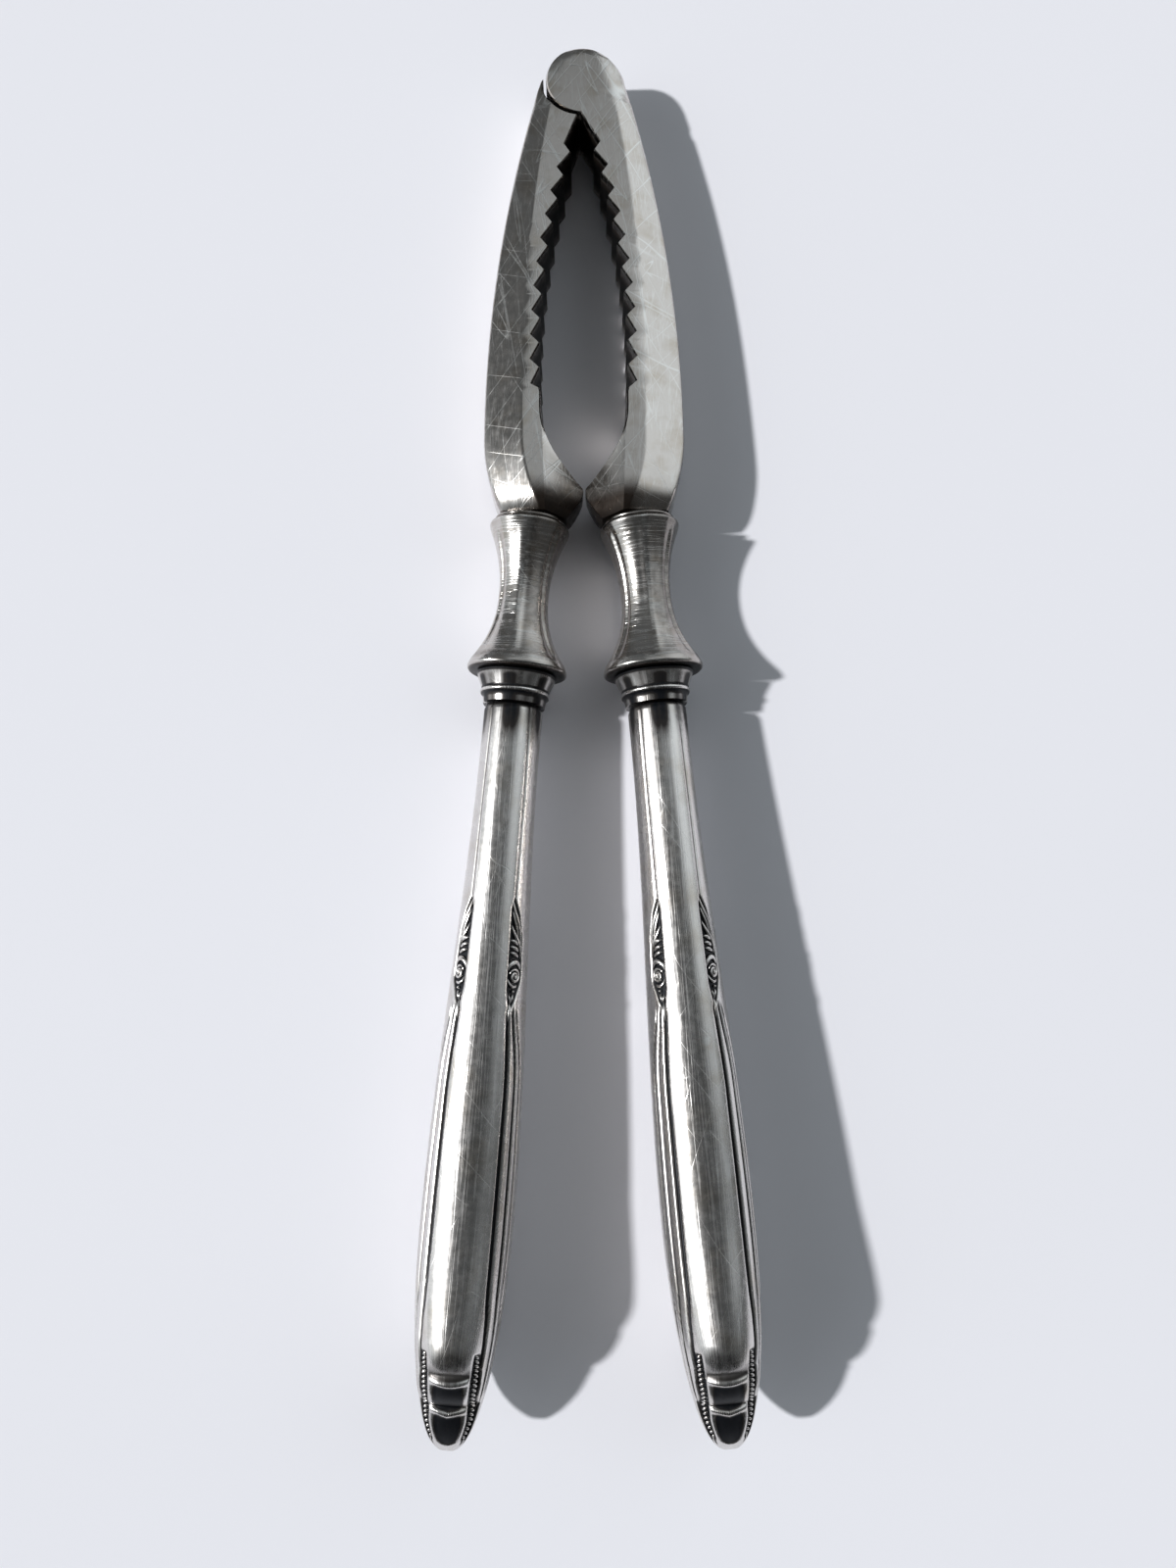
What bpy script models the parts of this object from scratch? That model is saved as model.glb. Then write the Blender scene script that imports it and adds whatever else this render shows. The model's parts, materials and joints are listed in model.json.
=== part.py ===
"""Hinged silver nutcracker with toothed jaws and hollow table-knife handles, closed and lying on a table.

The tool is laid out flat first, in its own frame: the hinge is at the origin, the head points to +Y,
the handles to -Y, and the mid-plane is z = 0. That frame is then tilted a little about X, so that the
flat backs of the jaws and the backs of the handle shoulders lie on the table, z = 0.
"""

import math

import bmesh
import bpy
from mathutils import Matrix, Vector

MM = 0.001
GAP = 0.3 * MM
ROUND_SEGMENTS = 32

# Hinge
DISC_RADIUS = 5.2 * MM
SOCKET_RADIUS = 5.7 * MM
TONGUE_RADIUS = 4.9 * MM
SLOT_RADIUS = 5.2 * MM
TONGUE_HALF_THICKNESS = 1.4 * MM
PIN_RADIUS = 1.6 * MM
PIN_CLEARANCE = 0.08 * MM
PIN_HALF_LENGTH = 4.55 * MM

# Jaws. A depth is a distance below the hinge, towards the handles.
HEAD_HALF_THICKNESS = 4.6 * MM
PLATE_HALF_THICKNESS = 12 * MM
FACE_SLOPE = 0.0252
HEAD_ARC_RADIUS = 6.3 * MM
HEAD_ARC_END = math.radians(17)
SOCKET_CORNER_ANGLE = math.radians(263)
DISC_JUNCTION_ANGLE = math.radians(-94)
OUTER_EDGE_START = 0.6 * MM
JAW_HALF_WIDTH = 13.7 * MM
JAW_WIDEST_DEPTH = 53.4 * MM
JAW_OUTER_RADIUS = 188 * MM
JAW_BASE_RADIUS = 23 * MM
BEVEL_SLOPE = 0.42
HEAD_BEVEL_WIDTH = 2.1 * MM
BASE_BEVEL_WIDTH = 5.3 * MM
JAW_TOP = 5.6 * MM
BASE_ROUNDING_LENGTH = 5.5 * MM
BASE_ROUNDING_DEPTH = 1.8 * MM
FOOT_INNER = -5.0 * MM
FOOT_OUTER = 4.5 * MM
CONTACT_DEPTH = 59.9 * MM
FACET_TOP_DEPTH = 47.6 * MM
FACET_SLOPE = 0.9
FACET_BASE_X = 5.2 * MM

# Nut opening
OPENING_HALF_WIDTH = 7.15 * MM
OPENING_WIDEST_DEPTH = 42 * MM
OPENING_RADIUS = 107.8 * MM
LEFT_FIRST_GAP = 10.2 * MM
RIGHT_FIRST_GAP = 9.8 * MM
TOOTH_COUNT = 11
TOOTH_PITCH = 3.62 * MM
TOOTH_HEIGHT = 1.2 * MM
TOOTH_TIP_SHARE = 0.34
THROAT_HALF_WIDTH = 5.85 * MM
THROAT_TOP_DEPTH = 49.7 * MM
THROAT_RADIUS = 10.5 * MM
THROAT_ANGLE = math.radians(42)

# Arms. A distance along an arm is measured down its axis from the rim of its ferrule.
ARM_SPLAY = math.radians(4.85)
RIM_X = 7.55 * MM
RIM_DEPTH = 65.0 * MM
JAW_END = -1.1 * MM
TANG_START = -4.1 * MM
TANG_TAPER_START = 25 * MM
TANG_END = 78 * MM
TANG_HALF_WIDTH = 1.75 * MM
TANG_HALF_DEPTH = 2.4 * MM
TANG_TIP_HALF_WIDTH = 1.0 * MM
TANG_TIP_HALF_DEPTH = 1.5 * MM
FERRULE_START = JAW_END + GAP
FERRULE_END = 20.6 * MM
COLLAR_START = FERRULE_END + GAP
COLLAR_END = 25.0 * MM
MOUTH = COLLAR_END + GAP
SHOULDER = 104.8 * MM
TIP = 119.8 * MM
BEYOND = 4 * MM

# Handle
SHELL_THICKNESS = 0.6 * MM
HANDLE_ROUNDNESS = 2.2
MOUTH_HALF_WIDTH = 3.95 * MM
SWELL_HALF_WIDTH = 5.95 * MM
SWELL_START = 30 * MM
SWELL_END = 91 * MM
MOUTH_HALF_DEPTH = 4.5 * MM
SHOULDER_HALF_DEPTH = 8.85 * MM
FLARE_START = 90 * MM
FLARE_DEPTH = 0.75 * MM
NOTCHES = ((SHOULDER, SHOULDER_HALF_DEPTH), (108.4 * MM, 7.45 * MM), (113.0 * MM, 4.35 * MM), (TIP, 0))
LOBE_BULGES = (0.35 * MM, 0.95 * MM, 0.9 * MM)
TIP_ROUNDING = 0.15 * MM

SILVER = {"colour": (0.72, 0.71, 0.68, 1), "roughness": 0.3, "metallic": 1.0}
WORN_SILVER = {"colour": (0.62, 0.61, 0.58, 1), "roughness": 0.38, "metallic": 1.0}
STEEL = {"colour": (0.45, 0.45, 0.46, 1), "roughness": 0.45, "metallic": 1.0}
CEMENT = {"colour": (0.16, 0.12, 0.09, 1), "roughness": 0.9, "metallic": 0.0}


def clear_scene():
    for obj in list(bpy.data.objects):
        bpy.data.objects.remove(obj)


def new_collection(name):
    collection = bpy.data.collections.new(name)
    bpy.context.scene.collection.children.link(collection)
    return collection


def new_material(name, look):
    material = bpy.data.materials.new(name)
    material.use_nodes = True
    shader = material.node_tree.nodes["Principled BSDF"]
    shader.inputs["Base Color"].default_value = look["colour"]
    shader.inputs["Roughness"].default_value = look["roughness"]
    shader.inputs["Metallic"].default_value = look["metallic"]
    material.diffuse_color = look["colour"]
    return material


def new_empty(name, collection, parent=None):
    empty = bpy.data.objects.new(name, None)
    empty.empty_display_size = 10 * MM
    collection.objects.link(empty)
    empty.parent = parent
    return empty


def new_object(name, bm, collection):
    mesh = bpy.data.meshes.new(name)
    bm.to_mesh(mesh)
    bm.free()
    obj = bpy.data.objects.new(name, mesh)
    collection.objects.link(obj)
    return obj


def as_cutter(obj):
    obj.display_type = "WIRE"
    obj.hide_render = True
    return obj


def loft(name, rings, collection):
    """A solid through rings of points, all with as many points, closed by flat caps."""
    bm = bmesh.new()
    loops = [[bm.verts.new(point) for point in ring] for ring in rings]
    count = len(loops[0])
    for lower, upper in zip(loops, loops[1:]):
        for i in range(count):
            j = (i + 1) % count
            bm.faces.new((lower[i], lower[j], upper[j], upper[i]))
    bm.faces.new(loops[0][::-1])
    bm.faces.new(loops[-1])
    bmesh.ops.recalc_face_normals(bm, faces=bm.faces)
    return new_object(name, bm, collection)


def plate(name, outline, half_thickness, collection):
    """A flat plate of a closed outline in the XY plane, centred on z = 0."""
    curve = bpy.data.curves.new(name, "CURVE")
    curve.dimensions = "2D"
    curve.fill_mode = "BOTH"
    curve.extrude = half_thickness
    spline = curve.splines.new("POLY")
    spline.points.add(len(outline) - 1)
    for point, (x, y) in zip(spline.points, outline):
        point.co = (x, y, 0, 1)
    spline.use_cyclic_u = True
    outline_object = bpy.data.objects.new(name + "_outline", curve)
    collection.objects.link(outline_object)
    bpy.context.view_layer.update()
    graph = bpy.context.evaluated_depsgraph_get()
    mesh = bpy.data.meshes.new_from_object(outline_object.evaluated_get(graph))
    bm = bmesh.new()
    bm.from_mesh(mesh)
    bmesh.ops.remove_doubles(bm, verts=bm.verts, dist=0.001 * MM)
    bmesh.ops.recalc_face_normals(bm, faces=bm.faces)
    bpy.data.meshes.remove(mesh)
    bpy.data.objects.remove(outline_object)
    return new_object(name, bm, collection)


def cylinder(name, radius, low, high, collection):
    bm = bmesh.new()
    bmesh.ops.create_cone(
        bm,
        cap_ends=True,
        segments=ROUND_SEGMENTS,
        radius1=radius,
        radius2=radius,
        depth=high - low,
        matrix=Matrix.Translation((0, 0, (low + high) / 2)),
    )
    return new_object(name, bm, collection)


def add_boolean(obj, operation, other):
    boolean = obj.modifiers.new(operation.title() + "_" + other.name, "BOOLEAN")
    boolean.operation = operation
    boolean.solver = "EXACT"
    boolean.object = other


def smooth(obj, angle):
    obj.data.shade_smooth()
    obj.data.set_sharp_from_angle(angle=math.radians(angle))


def arc(radius, start, end, steps, centre=(0, 0)):
    """Points along an arc, both ends included."""
    points = []
    for i in range(steps + 1):
        angle = start + (end - start) * i / steps
        x = centre[0] + radius * math.cos(angle)
        y = centre[1] + radius * math.sin(angle)
        points.append((x, y))
    return points


def smoothstep(value, low, high):
    share = min(1, max(0, (value - low) / (high - low)))
    return share * share * (3 - 2 * share)


def mirrored(points):
    return [(-x, y) for x, y in points]


# Jaws ------------------------------------------------------------------------------------------


def jaw_half_thickness(depth):
    """Half the thickness of the jaws: they thicken towards the handles, and round off at their end."""
    end = RIM_DEPTH + 1 * MM
    rounding = smoothstep(depth, end - BASE_ROUNDING_LENGTH, end)
    return HEAD_HALF_THICKNESS + FACE_SLOPE * depth - BASE_ROUNDING_DEPTH * rounding


def jaw_outer_x(depth):
    """The jaw's outer edge, a long shallow curve, with a tighter one under its widest point."""
    below = depth - JAW_WIDEST_DEPTH
    radius = JAW_OUTER_RADIUS if below < 0 else JAW_BASE_RADIUS
    return JAW_HALF_WIDTH - below * below / (2 * radius)


def opening_x(depth):
    """The line through the bottoms of the tooth gaps, a shallow curve."""
    below = depth - OPENING_WIDEST_DEPTH
    return OPENING_HALF_WIDTH - below * below / (2 * OPENING_RADIUS)


def bevel_ridge_x(depth):
    """Where the flat face meets the broad outer bevel, which widens towards the handles."""
    widening = (BASE_BEVEL_WIDTH - HEAD_BEVEL_WIDTH) * smoothstep(depth, -10 * MM, 50 * MM)
    return head_outer_x(depth) - HEAD_BEVEL_WIDTH - widening


def head_outer_x(depth):
    """The outer edge, going round the head above the hinge."""
    arc_centre = DISC_RADIUS - HEAD_ARC_RADIUS
    above_centre = -depth - arc_centre
    if above_centre < HEAD_ARC_RADIUS * math.sin(HEAD_ARC_END):
        return jaw_outer_x(depth)
    above_centre = min(above_centre, HEAD_ARC_RADIUS)
    return math.sqrt(HEAD_ARC_RADIUS**2 - above_centre**2)


def arm_point(across, along):
    """A point of the right arm's own frame, in the tool's frame."""
    x = RIM_X + along * math.sin(ARM_SPLAY) + across * math.cos(ARM_SPLAY)
    y = -RIM_DEPTH - along * math.cos(ARM_SPLAY) + across * math.sin(ARM_SPLAY)
    return (x, y)


def inner_edge(first_gap_depth):
    """The right jaw's inner edge from its first tooth gap down to its end: teeth, throat and foot."""
    points = []
    for i in range(TOOTH_COUNT):
        depth = first_gap_depth + i * TOOTH_PITCH
        points.append((opening_x(depth), -depth))
        tip_depth = depth + TOOTH_TIP_SHARE * TOOTH_PITCH
        if i < TOOTH_COUNT - 1:
            points.append((opening_x(tip_depth) - TOOTH_HEIGHT, -tip_depth))
    points.append((THROAT_HALF_WIDTH, points[-1][1] - 1.1 * MM))
    centre = (THROAT_HALF_WIDTH - THROAT_RADIUS, -THROAT_TOP_DEPTH)
    points.extend(arc(THROAT_RADIUS, 0, -THROAT_ANGLE, 7, centre))
    points.append((GAP / 2, -CONTACT_DEPTH))
    points.append((GAP / 2, -CONTACT_DEPTH - 0.5 * MM))
    points.append((0.7 * MM, -CONTACT_DEPTH - 2 * MM))
    points.append(arm_point(FOOT_INNER, JAW_END))
    return points


def outer_edge(start_depth):
    """The right jaw's outer edge, from its end up to the given depth."""
    foot = arm_point(FOOT_OUTER, JAW_END)
    steps = 16
    points = [foot]
    end_depth = -foot[1]
    for i in range(1, steps + 1):
        depth = end_depth + (start_depth - end_depth) * i / steps
        points.append((jaw_outer_x(depth), -depth))
    return points


def jaw_envelope(name, side, collection):
    """A block with the jaw's flat faces and its outer bevels, wider than the jaw elsewhere."""
    inner_x = -8 * MM
    beyond = 3 * MM
    stations = [-JAW_TOP, -4.2 * MM, -2.5 * MM, 0]
    steps = 12
    end_depth = RIM_DEPTH + 1 * MM
    stations.extend(end_depth * i / steps for i in range(1, steps + 1))
    rings = []
    for depth in stations:
        half = jaw_half_thickness(depth)
        ridge = bevel_ridge_x(depth)
        outer = jaw_outer_x(depth) + beyond
        outer_half = half - BEVEL_SLOPE * (outer - ridge)
        section = [(inner_x, half), (ridge, half), (outer, outer_half)]
        section += [(x, -z) for x, z in reversed(section)]
        rings.append([(side * x, -depth, z) for x, z in section])
    return as_cutter(loft(name, rings, collection))


def throat_facet_cutter(name, side, face, collection):
    """Takes the corner off the jaw's inner edge below the teeth. face is 1 in front and -1 behind."""
    rings = []
    for depth, ridge in ((FACET_TOP_DEPTH, THROAT_HALF_WIDTH), (RIM_DEPTH + 1 * MM, FACET_BASE_X)):
        half = HEAD_HALF_THICKNESS + FACE_SLOPE * depth
        high = half + 3 * MM
        rise = 3 * MM / FACET_SLOPE
        low_x = -3 * MM
        low = half - FACET_SLOPE * (ridge - low_x)
        section = [(low_x, low), (ridge + rise, high), (low_x, high)]
        rings.append([(side * x, -depth, face * z) for x, z in section])
    return as_cutter(loft(name, rings, collection))


def tang_section(along, clearance):
    """The tang's rectangular section: it keeps one size down to its taper, which runs to its end."""
    share = max(0, (along - TANG_TAPER_START) / (TANG_END - TANG_TAPER_START))
    half_width = TANG_HALF_WIDTH + (TANG_TIP_HALF_WIDTH - TANG_HALF_WIDTH) * share + clearance
    half_depth = TANG_HALF_DEPTH + (TANG_TIP_HALF_DEPTH - TANG_HALF_DEPTH) * share + clearance
    top = [(-half_width, -half_depth), (half_width, -half_depth)]
    return top + [(half_width, half_depth), (-half_width, half_depth)]


def tang(name, side, collection):
    """The tapered bar that runs down inside the ferrule and the handle."""
    rings = []
    for along in (TANG_START, TANG_TAPER_START, TANG_END):
        ring = []
        for across, z in tang_section(along, 0):
            x, y = arm_point(across, along)
            ring.append((side * x, y, z))
        rings.append(ring)
    return as_cutter(loft(name, rings, collection))


def finish_jaw(jaw, word, side, cutters):
    """Gives a jaw's plate its sloping faces, bevels and throat facets."""
    add_boolean(jaw, "INTERSECT", jaw_envelope(word + "_jaw_envelope", side, cutters))
    for face, face_word in ((1, "front"), (-1, "back")):
        facet = throat_facet_cutter(word + "_facet_" + face_word, side, face, cutters)
        add_boolean(jaw, "DIFFERENCE", facet)


def add_tang_and_pin_hole(jaw, word, side, cutters):
    add_boolean(jaw, "UNION", tang(word + "_tang", side, cutters))
    radius = PIN_RADIUS + PIN_CLEARANCE
    hole = cylinder(word + "_pin_hole", radius, -2 * PIN_HALF_LENGTH, 2 * PIN_HALF_LENGTH, cutters)
    add_boolean(jaw, "DIFFERENCE", as_cutter(hole))


def left_jaw(parts, cutters):
    """The jaw with the socket, its round tongue and its tang."""
    socket = arc(SOCKET_RADIUS, math.pi, SOCKET_CORNER_ANGLE, 10)
    inner = mirrored(inner_edge(LEFT_FIRST_GAP))
    outer = mirrored(outer_edge(OUTER_EDGE_START))
    jaw = plate("left_jaw", socket + inner + outer, PLATE_HALF_THICKNESS, parts)
    finish_jaw(jaw, "left", -1, cutters)
    web_start = SOCKET_CORNER_ANGLE - math.radians(1)
    web_end = math.pi + math.radians(4)
    web = arc(SOCKET_RADIUS + 0.25 * MM, web_start, web_end, 8)
    disc = arc(TONGUE_RADIUS, web_end, web_start - 2 * math.pi, 26)
    tongue = plate("left_tongue", web + disc, TONGUE_HALF_THICKNESS, cutters)
    add_boolean(jaw, "UNION", as_cutter(tongue))
    add_tang_and_pin_hole(jaw, "left", -1, cutters)
    return jaw


def right_jaw(parts, cutters):
    """The jaw with the two round cheeks that hold the left jaw's tongue, and its tang."""
    inner = inner_edge(RIGHT_FIRST_GAP)
    outer = outer_edge(OUTER_EDGE_START)
    head_centre = (0, DISC_RADIUS - HEAD_ARC_RADIUS)
    head = arc(HEAD_ARC_RADIUS, HEAD_ARC_END, math.pi / 2, 8, head_centre)
    disc = arc(DISC_RADIUS, math.pi / 2, 2 * math.pi + DISC_JUNCTION_ANGLE, 18)
    jaw = plate("right_jaw", inner + outer + head + disc[1:], PLATE_HALF_THICKNESS, parts)
    finish_jaw(jaw, "right", 1, cutters)
    slot_half = TONGUE_HALF_THICKNESS + GAP
    slot = cylinder("right_slot", SLOT_RADIUS + GAP / 2, -slot_half, slot_half, cutters)
    add_boolean(jaw, "DIFFERENCE", as_cutter(slot))
    add_tang_and_pin_hole(jaw, "right", 1, cutters)
    return jaw


def pivot_pin(parts):
    """The rivet through both jaws, dressed flush with the faces of the cheeks."""
    return cylinder("pivot_pin", PIN_RADIUS, -PIN_HALF_LENGTH, PIN_HALF_LENGTH, parts)


# Arms ------------------------------------------------------------------------------------------


def oval(half_width, half_depth, roundness, count):
    """Points round an oval in the XZ plane, from +X towards +Z. A roundness of 2 is an ellipse."""
    points = []
    for i in range(count):
        angle = 2 * math.pi * i / count
        cosine, sine = math.cos(angle), math.sin(angle)
        x = half_width * math.copysign(abs(cosine) ** (2 / roundness), cosine)
        z = half_depth * math.copysign(abs(sine) ** (2 / roundness), sine)
        points.append((x, z))
    return points


def turned_oval(name, profile, roundness, collection):
    """A solid along -Y of the arm frame. A profile row is (along, half width, half depth)."""
    rings = []
    for along, half_width, half_depth in profile:
        ring = oval(half_width * MM, half_depth * MM, roundness, 24)
        rings.append([(x, -along * MM, z) for x, z in ring])
    return loft(name, rings, collection)


def tang_hole(name, start, end, collection):
    """A hole for the tang along the arm frame's -Y, with a gap all round."""
    rings = []
    for along in sorted({start, max(start, min(end, TANG_TAPER_START)), end}):
        rings.append([(x, -along, z) for x, z in tang_section(along, GAP)])
    return as_cutter(loft(name, rings, collection))


def ferrule(name, parts, cutters):
    """The waisted spool between the jaw and the handle, with a thin bead over its rim and a flared foot."""
    start = FERRULE_START / MM
    bead = [(start, 4.7, 5.3), (start + 0.15, 4.95, 5.55), (start + 0.5, 4.95, 5.55), (start + 0.6, 4.6, 5.2)]
    rim = [(-0.05, 4.6, 5.2), (0.1, 5.3, 6.0), (0.45, 5.45, 6.15), (0.8, 5.4, 6.1)]
    waist = []
    steps = 9
    rim_end, waist_at, flare_end = 0.8, 9.4, 19.2
    for i in range(1, 2 * steps):
        along = rim_end + (flare_end - rim_end) * i / (2 * steps)
        if along < waist_at:
            away = (waist_at - along) / (waist_at - rim_end)
            sizes = (3.4 + 2.0 * away**2.0, 4.05 + 2.05 * away**2.0)
        else:
            away = (along - waist_at) / (flare_end - waist_at)
            sizes = (3.4 + 3.0 * away**2.4, 4.05 + 2.35 * away**2.2)
        waist.append((along, *sizes))
    foot = [(19.25, 6.4, 6.4), (19.5, 6.7, 6.6), (20.3, 6.75, 6.65), (FERRULE_END / MM, 6.5, 6.4)]
    body = turned_oval(name, bead + rim + waist + foot, 2.3, parts)
    hole = tang_hole(name + "_hole", FERRULE_START - BEYOND, FERRULE_END + BEYOND, cutters)
    add_boolean(body, "DIFFERENCE", hole)
    return body


def collar(name, parts, cutters):
    """The ring at the handle's mouth: a cove under the ferrule's foot, then a bead."""
    start = COLLAR_START / MM
    cove = [(start, 6.1, 6.2), (start + 0.5, 5.3, 5.7), (start + 1.3, 4.75, 5.2), (start + 1.9, 4.6, 5.05)]
    bead = [(start + 2.1, 4.75, 5.2), (start + 2.6, 4.85, 5.3), (start + 3.1, 4.75, 5.2)]
    neck = [(start + 3.3, 4.35, 4.8), (COLLAR_END / MM, 4.2, 4.7)]
    body = turned_oval(name, cove + bead + neck, 2.2, parts)
    hole = tang_hole(name + "_hole", COLLAR_START - BEYOND, COLLAR_END + BEYOND, cutters)
    add_boolean(body, "DIFFERENCE", hole)
    return body


def handle_half_width(along):
    """The narrow way: slim at the mouth, swelling slowly, then a full round to the tip."""
    swell = SWELL_HALF_WIDTH - MOUTH_HALF_WIDTH
    width = MOUTH_HALF_WIDTH + swell * smoothstep(along, SWELL_START, SWELL_END)
    if along > SWELL_END:
        share = (along - SWELL_END) / (TIP - SWELL_END)
        width *= max(0, 1 - share * share) ** (1 / 2.4)
    return width


def lobe_depth(along, start, end, bulge):
    """Half depth on a convex arc between two (along, half depth) points, bulge being its height."""
    (x0, y0), (x1, y1) = start, end
    chord = math.hypot(x1 - x0, y1 - y0)
    radius = (chord * chord / 4 + bulge * bulge) / (2 * bulge)
    nx, ny = (y0 - y1) / chord, (x1 - x0) / chord
    cx = (x0 + x1) / 2 - nx * (radius - bulge)
    cy = (y0 + y1) / 2 - ny * (radius - bulge)
    return cy + math.sqrt(max(0, radius**2 - (along - cx) ** 2))


def handle_half_depth(along):
    """The broad way: a long taper that flares to the shoulder, then three lobes down to the tip."""
    if along <= SHOULDER:
        straight = SHOULDER_HALF_DEPTH - MOUTH_HALF_DEPTH - FLARE_DEPTH
        depth = MOUTH_HALF_DEPTH + straight * (along - MOUTH) / (SHOULDER - MOUTH)
        return depth + FLARE_DEPTH * smoothstep(along, FLARE_START, SHOULDER)
    for start, end, bulge in zip(NOTCHES, NOTCHES[1:], LOBE_BULGES):
        if along <= end[0]:
            return max(0, lobe_depth(along, start, end, bulge))
    return 0


def handle_stations(inset):
    """Where the handle's sections are: far apart on its body, close together at its end."""
    body = [MOUTH + (SWELL_END - MOUTH) * i / 8 for i in range(9)]
    flare = [SWELL_END + (SHOULDER - SWELL_END) * i / 5 for i in range(1, 6)]
    lobes = []
    for (start, _), (end, _) in zip(NOTCHES, NOTCHES[1:]):
        lobes += [start + (end - start) * i / 4 for i in range(1, 5)]
    tip = [TIP - 4 * TIP_ROUNDING, TIP - TIP_ROUNDING]
    stations = body + flare + lobes[:-1] + tip
    return [along for along in stations if along <= TIP - TIP_ROUNDING - inset]


def half_section(half_width, half_depth, low_x, count):
    """Half an oval, from the front seam round to the back seam, cut off at x = low_x."""
    points = []
    for i in range(count + 1):
        angle = math.pi * i / count
        sine, cosine = math.sin(angle), math.cos(angle)
        x = half_width * abs(sine) ** (2 / HANDLE_ROUNDNESS)
        z = half_depth * math.copysign(abs(cosine) ** (2 / HANDLE_ROUNDNESS), cosine)
        points.append((max(x, 0) + low_x, z))
    return points


def handle_half(name, side, parts, cutters):
    """One of a handle's two stamped half shells. side is 1 for the half on +X of the arm frame."""
    seam = GAP / 2
    rings = []
    for along in handle_stations(0):
        width = handle_half_width(along) - seam
        ring = half_section(max(width, 0.1 * MM), handle_half_depth(along), seam, 10)
        rings.append([(side * x, -along, z) for x, z in ring])
    shell = loft(name, rings, parts)
    inner = []
    for along in [MOUTH - 2 * MM] + handle_stations(2.5 * MM):
        size = max(along, MOUTH)
        width = handle_half_width(size) - SHELL_THICKNESS
        depth = handle_half_depth(size) - SHELL_THICKNESS
        ring = oval(width, depth, HANDLE_ROUNDNESS, 16)
        inner.append([(x, -along, z) for x, z in ring])
    hollow = as_cutter(loft(name + "_hollow", inner, cutters))
    add_boolean(shell, "DIFFERENCE", hollow)
    return shell


def handle_core(name, parts, cutters):
    """The cement that fills the handle and holds the tang."""
    rings = []
    for along in handle_stations(TIP - SHOULDER):
        width = handle_half_width(along) - SHELL_THICKNESS - GAP
        depth = handle_half_depth(along) - SHELL_THICKNESS - GAP
        ring = oval(width, depth, HANDLE_ROUNDNESS, 16)
        rings.append([(x, -along, z) for x, z in ring])
    core = loft(name, rings, parts)
    hole = tang_hole(name + "_hole", MOUTH - BEYOND, TANG_END + GAP, cutters)
    add_boolean(core, "DIFFERENCE", hole)
    return core


def build_arm(word, side, tool, parts, cutters, looks):
    """An arm's ferrule, collar and handle, in a frame on the rim of its ferrule, with -Y down the arm."""
    arm = new_empty(word + "_arm_axis", parts, tool)
    arm.location = (side * RIM_X, -RIM_DEPTH, 0)
    arm.rotation_euler = (0, 0, side * ARM_SPLAY)
    pieces = [
        (ferrule(word + "_ferrule", parts, cutters), looks["worn"]),
        (collar(word + "_collar", parts, cutters), looks["silver"]),
        (handle_half(word + "_handle_outer_half", side, parts, cutters), looks["silver"]),
        (handle_half(word + "_handle_inner_half", -side, parts, cutters), looks["silver"]),
        (handle_core(word + "_handle_core", parts, cutters), looks["cement"]),
    ]
    for piece, material in pieces:
        piece.data.materials.append(material)
        piece.parent = arm
        for modifier in piece.modifiers:
            modifier.object.parent = arm
        smooth(piece, 35)


def lay_on_table(tool, parts):
    """Moves the tool so that the middle of its footprint is the origin and its lowest point is on z = 0."""
    bpy.context.view_layer.update()
    graph = bpy.context.evaluated_depsgraph_get()
    low = Vector((math.inf,) * 3)
    high = Vector((-math.inf,) * 3)
    for obj in parts.objects:
        if obj.type != "MESH":
            continue
        evaluated = obj.evaluated_get(graph)
        for vertex in evaluated.data.vertices:
            point = evaluated.matrix_world @ vertex.co
            low = Vector(map(min, low, point))
            high = Vector(map(max, high, point))
    tool.location = (-(low.x + high.x) / 2, -(low.y + high.y) / 2, -low.z)


def main():
    clear_scene()
    parts = new_collection("Nutcracker")
    cutters = new_collection("Cutters")
    looks = {
        "silver": new_material("polished_silver", SILVER),
        "worn": new_material("satin_silver", WORN_SILVER),
        "steel": new_material("pin_steel", STEEL),
        "cement": new_material("handle_cement", CEMENT),
    }
    tool = new_empty("hinge", parts)
    tool.rotation_euler = (-math.atan(FACE_SLOPE), 0, 0)
    jaws_and_pin = (
        (left_jaw(parts, cutters), "worn"),
        (right_jaw(parts, cutters), "worn"),
        (pivot_pin(parts), "steel"),
    )
    for piece, look in jaws_and_pin:
        piece.data.materials.append(looks[look])
        piece.parent = tool
        for modifier in piece.modifiers:
            modifier.object.parent = tool
        smooth(piece, 20)
    build_arm("left", -1, tool, parts, cutters, looks)
    build_arm("right", 1, tool, parts, cutters, looks)
    lay_on_table(tool, parts)


main()
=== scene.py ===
"""Hinged silver nutcracker with hollow table-knife handles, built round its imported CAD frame.

Every piece is drawn in millimetres in a frame of its own, with the hinge or the rim of a ferrule at the
origin, and is then carried into the row frame, where the CAD nodes are. The left arm is the mirror of
the right one, apart from the head, where the right jaw has the round cheek and the left one the socket.
"""

import bisect
import json
from math import asin, atan2, copysign, cos, dist, hypot, pi, radians, sin, sqrt, tan

import bmesh
import bpy
from bpy.props import FloatProperty, PointerProperty, StringProperty
from mathutils import Matrix, Vector


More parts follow.
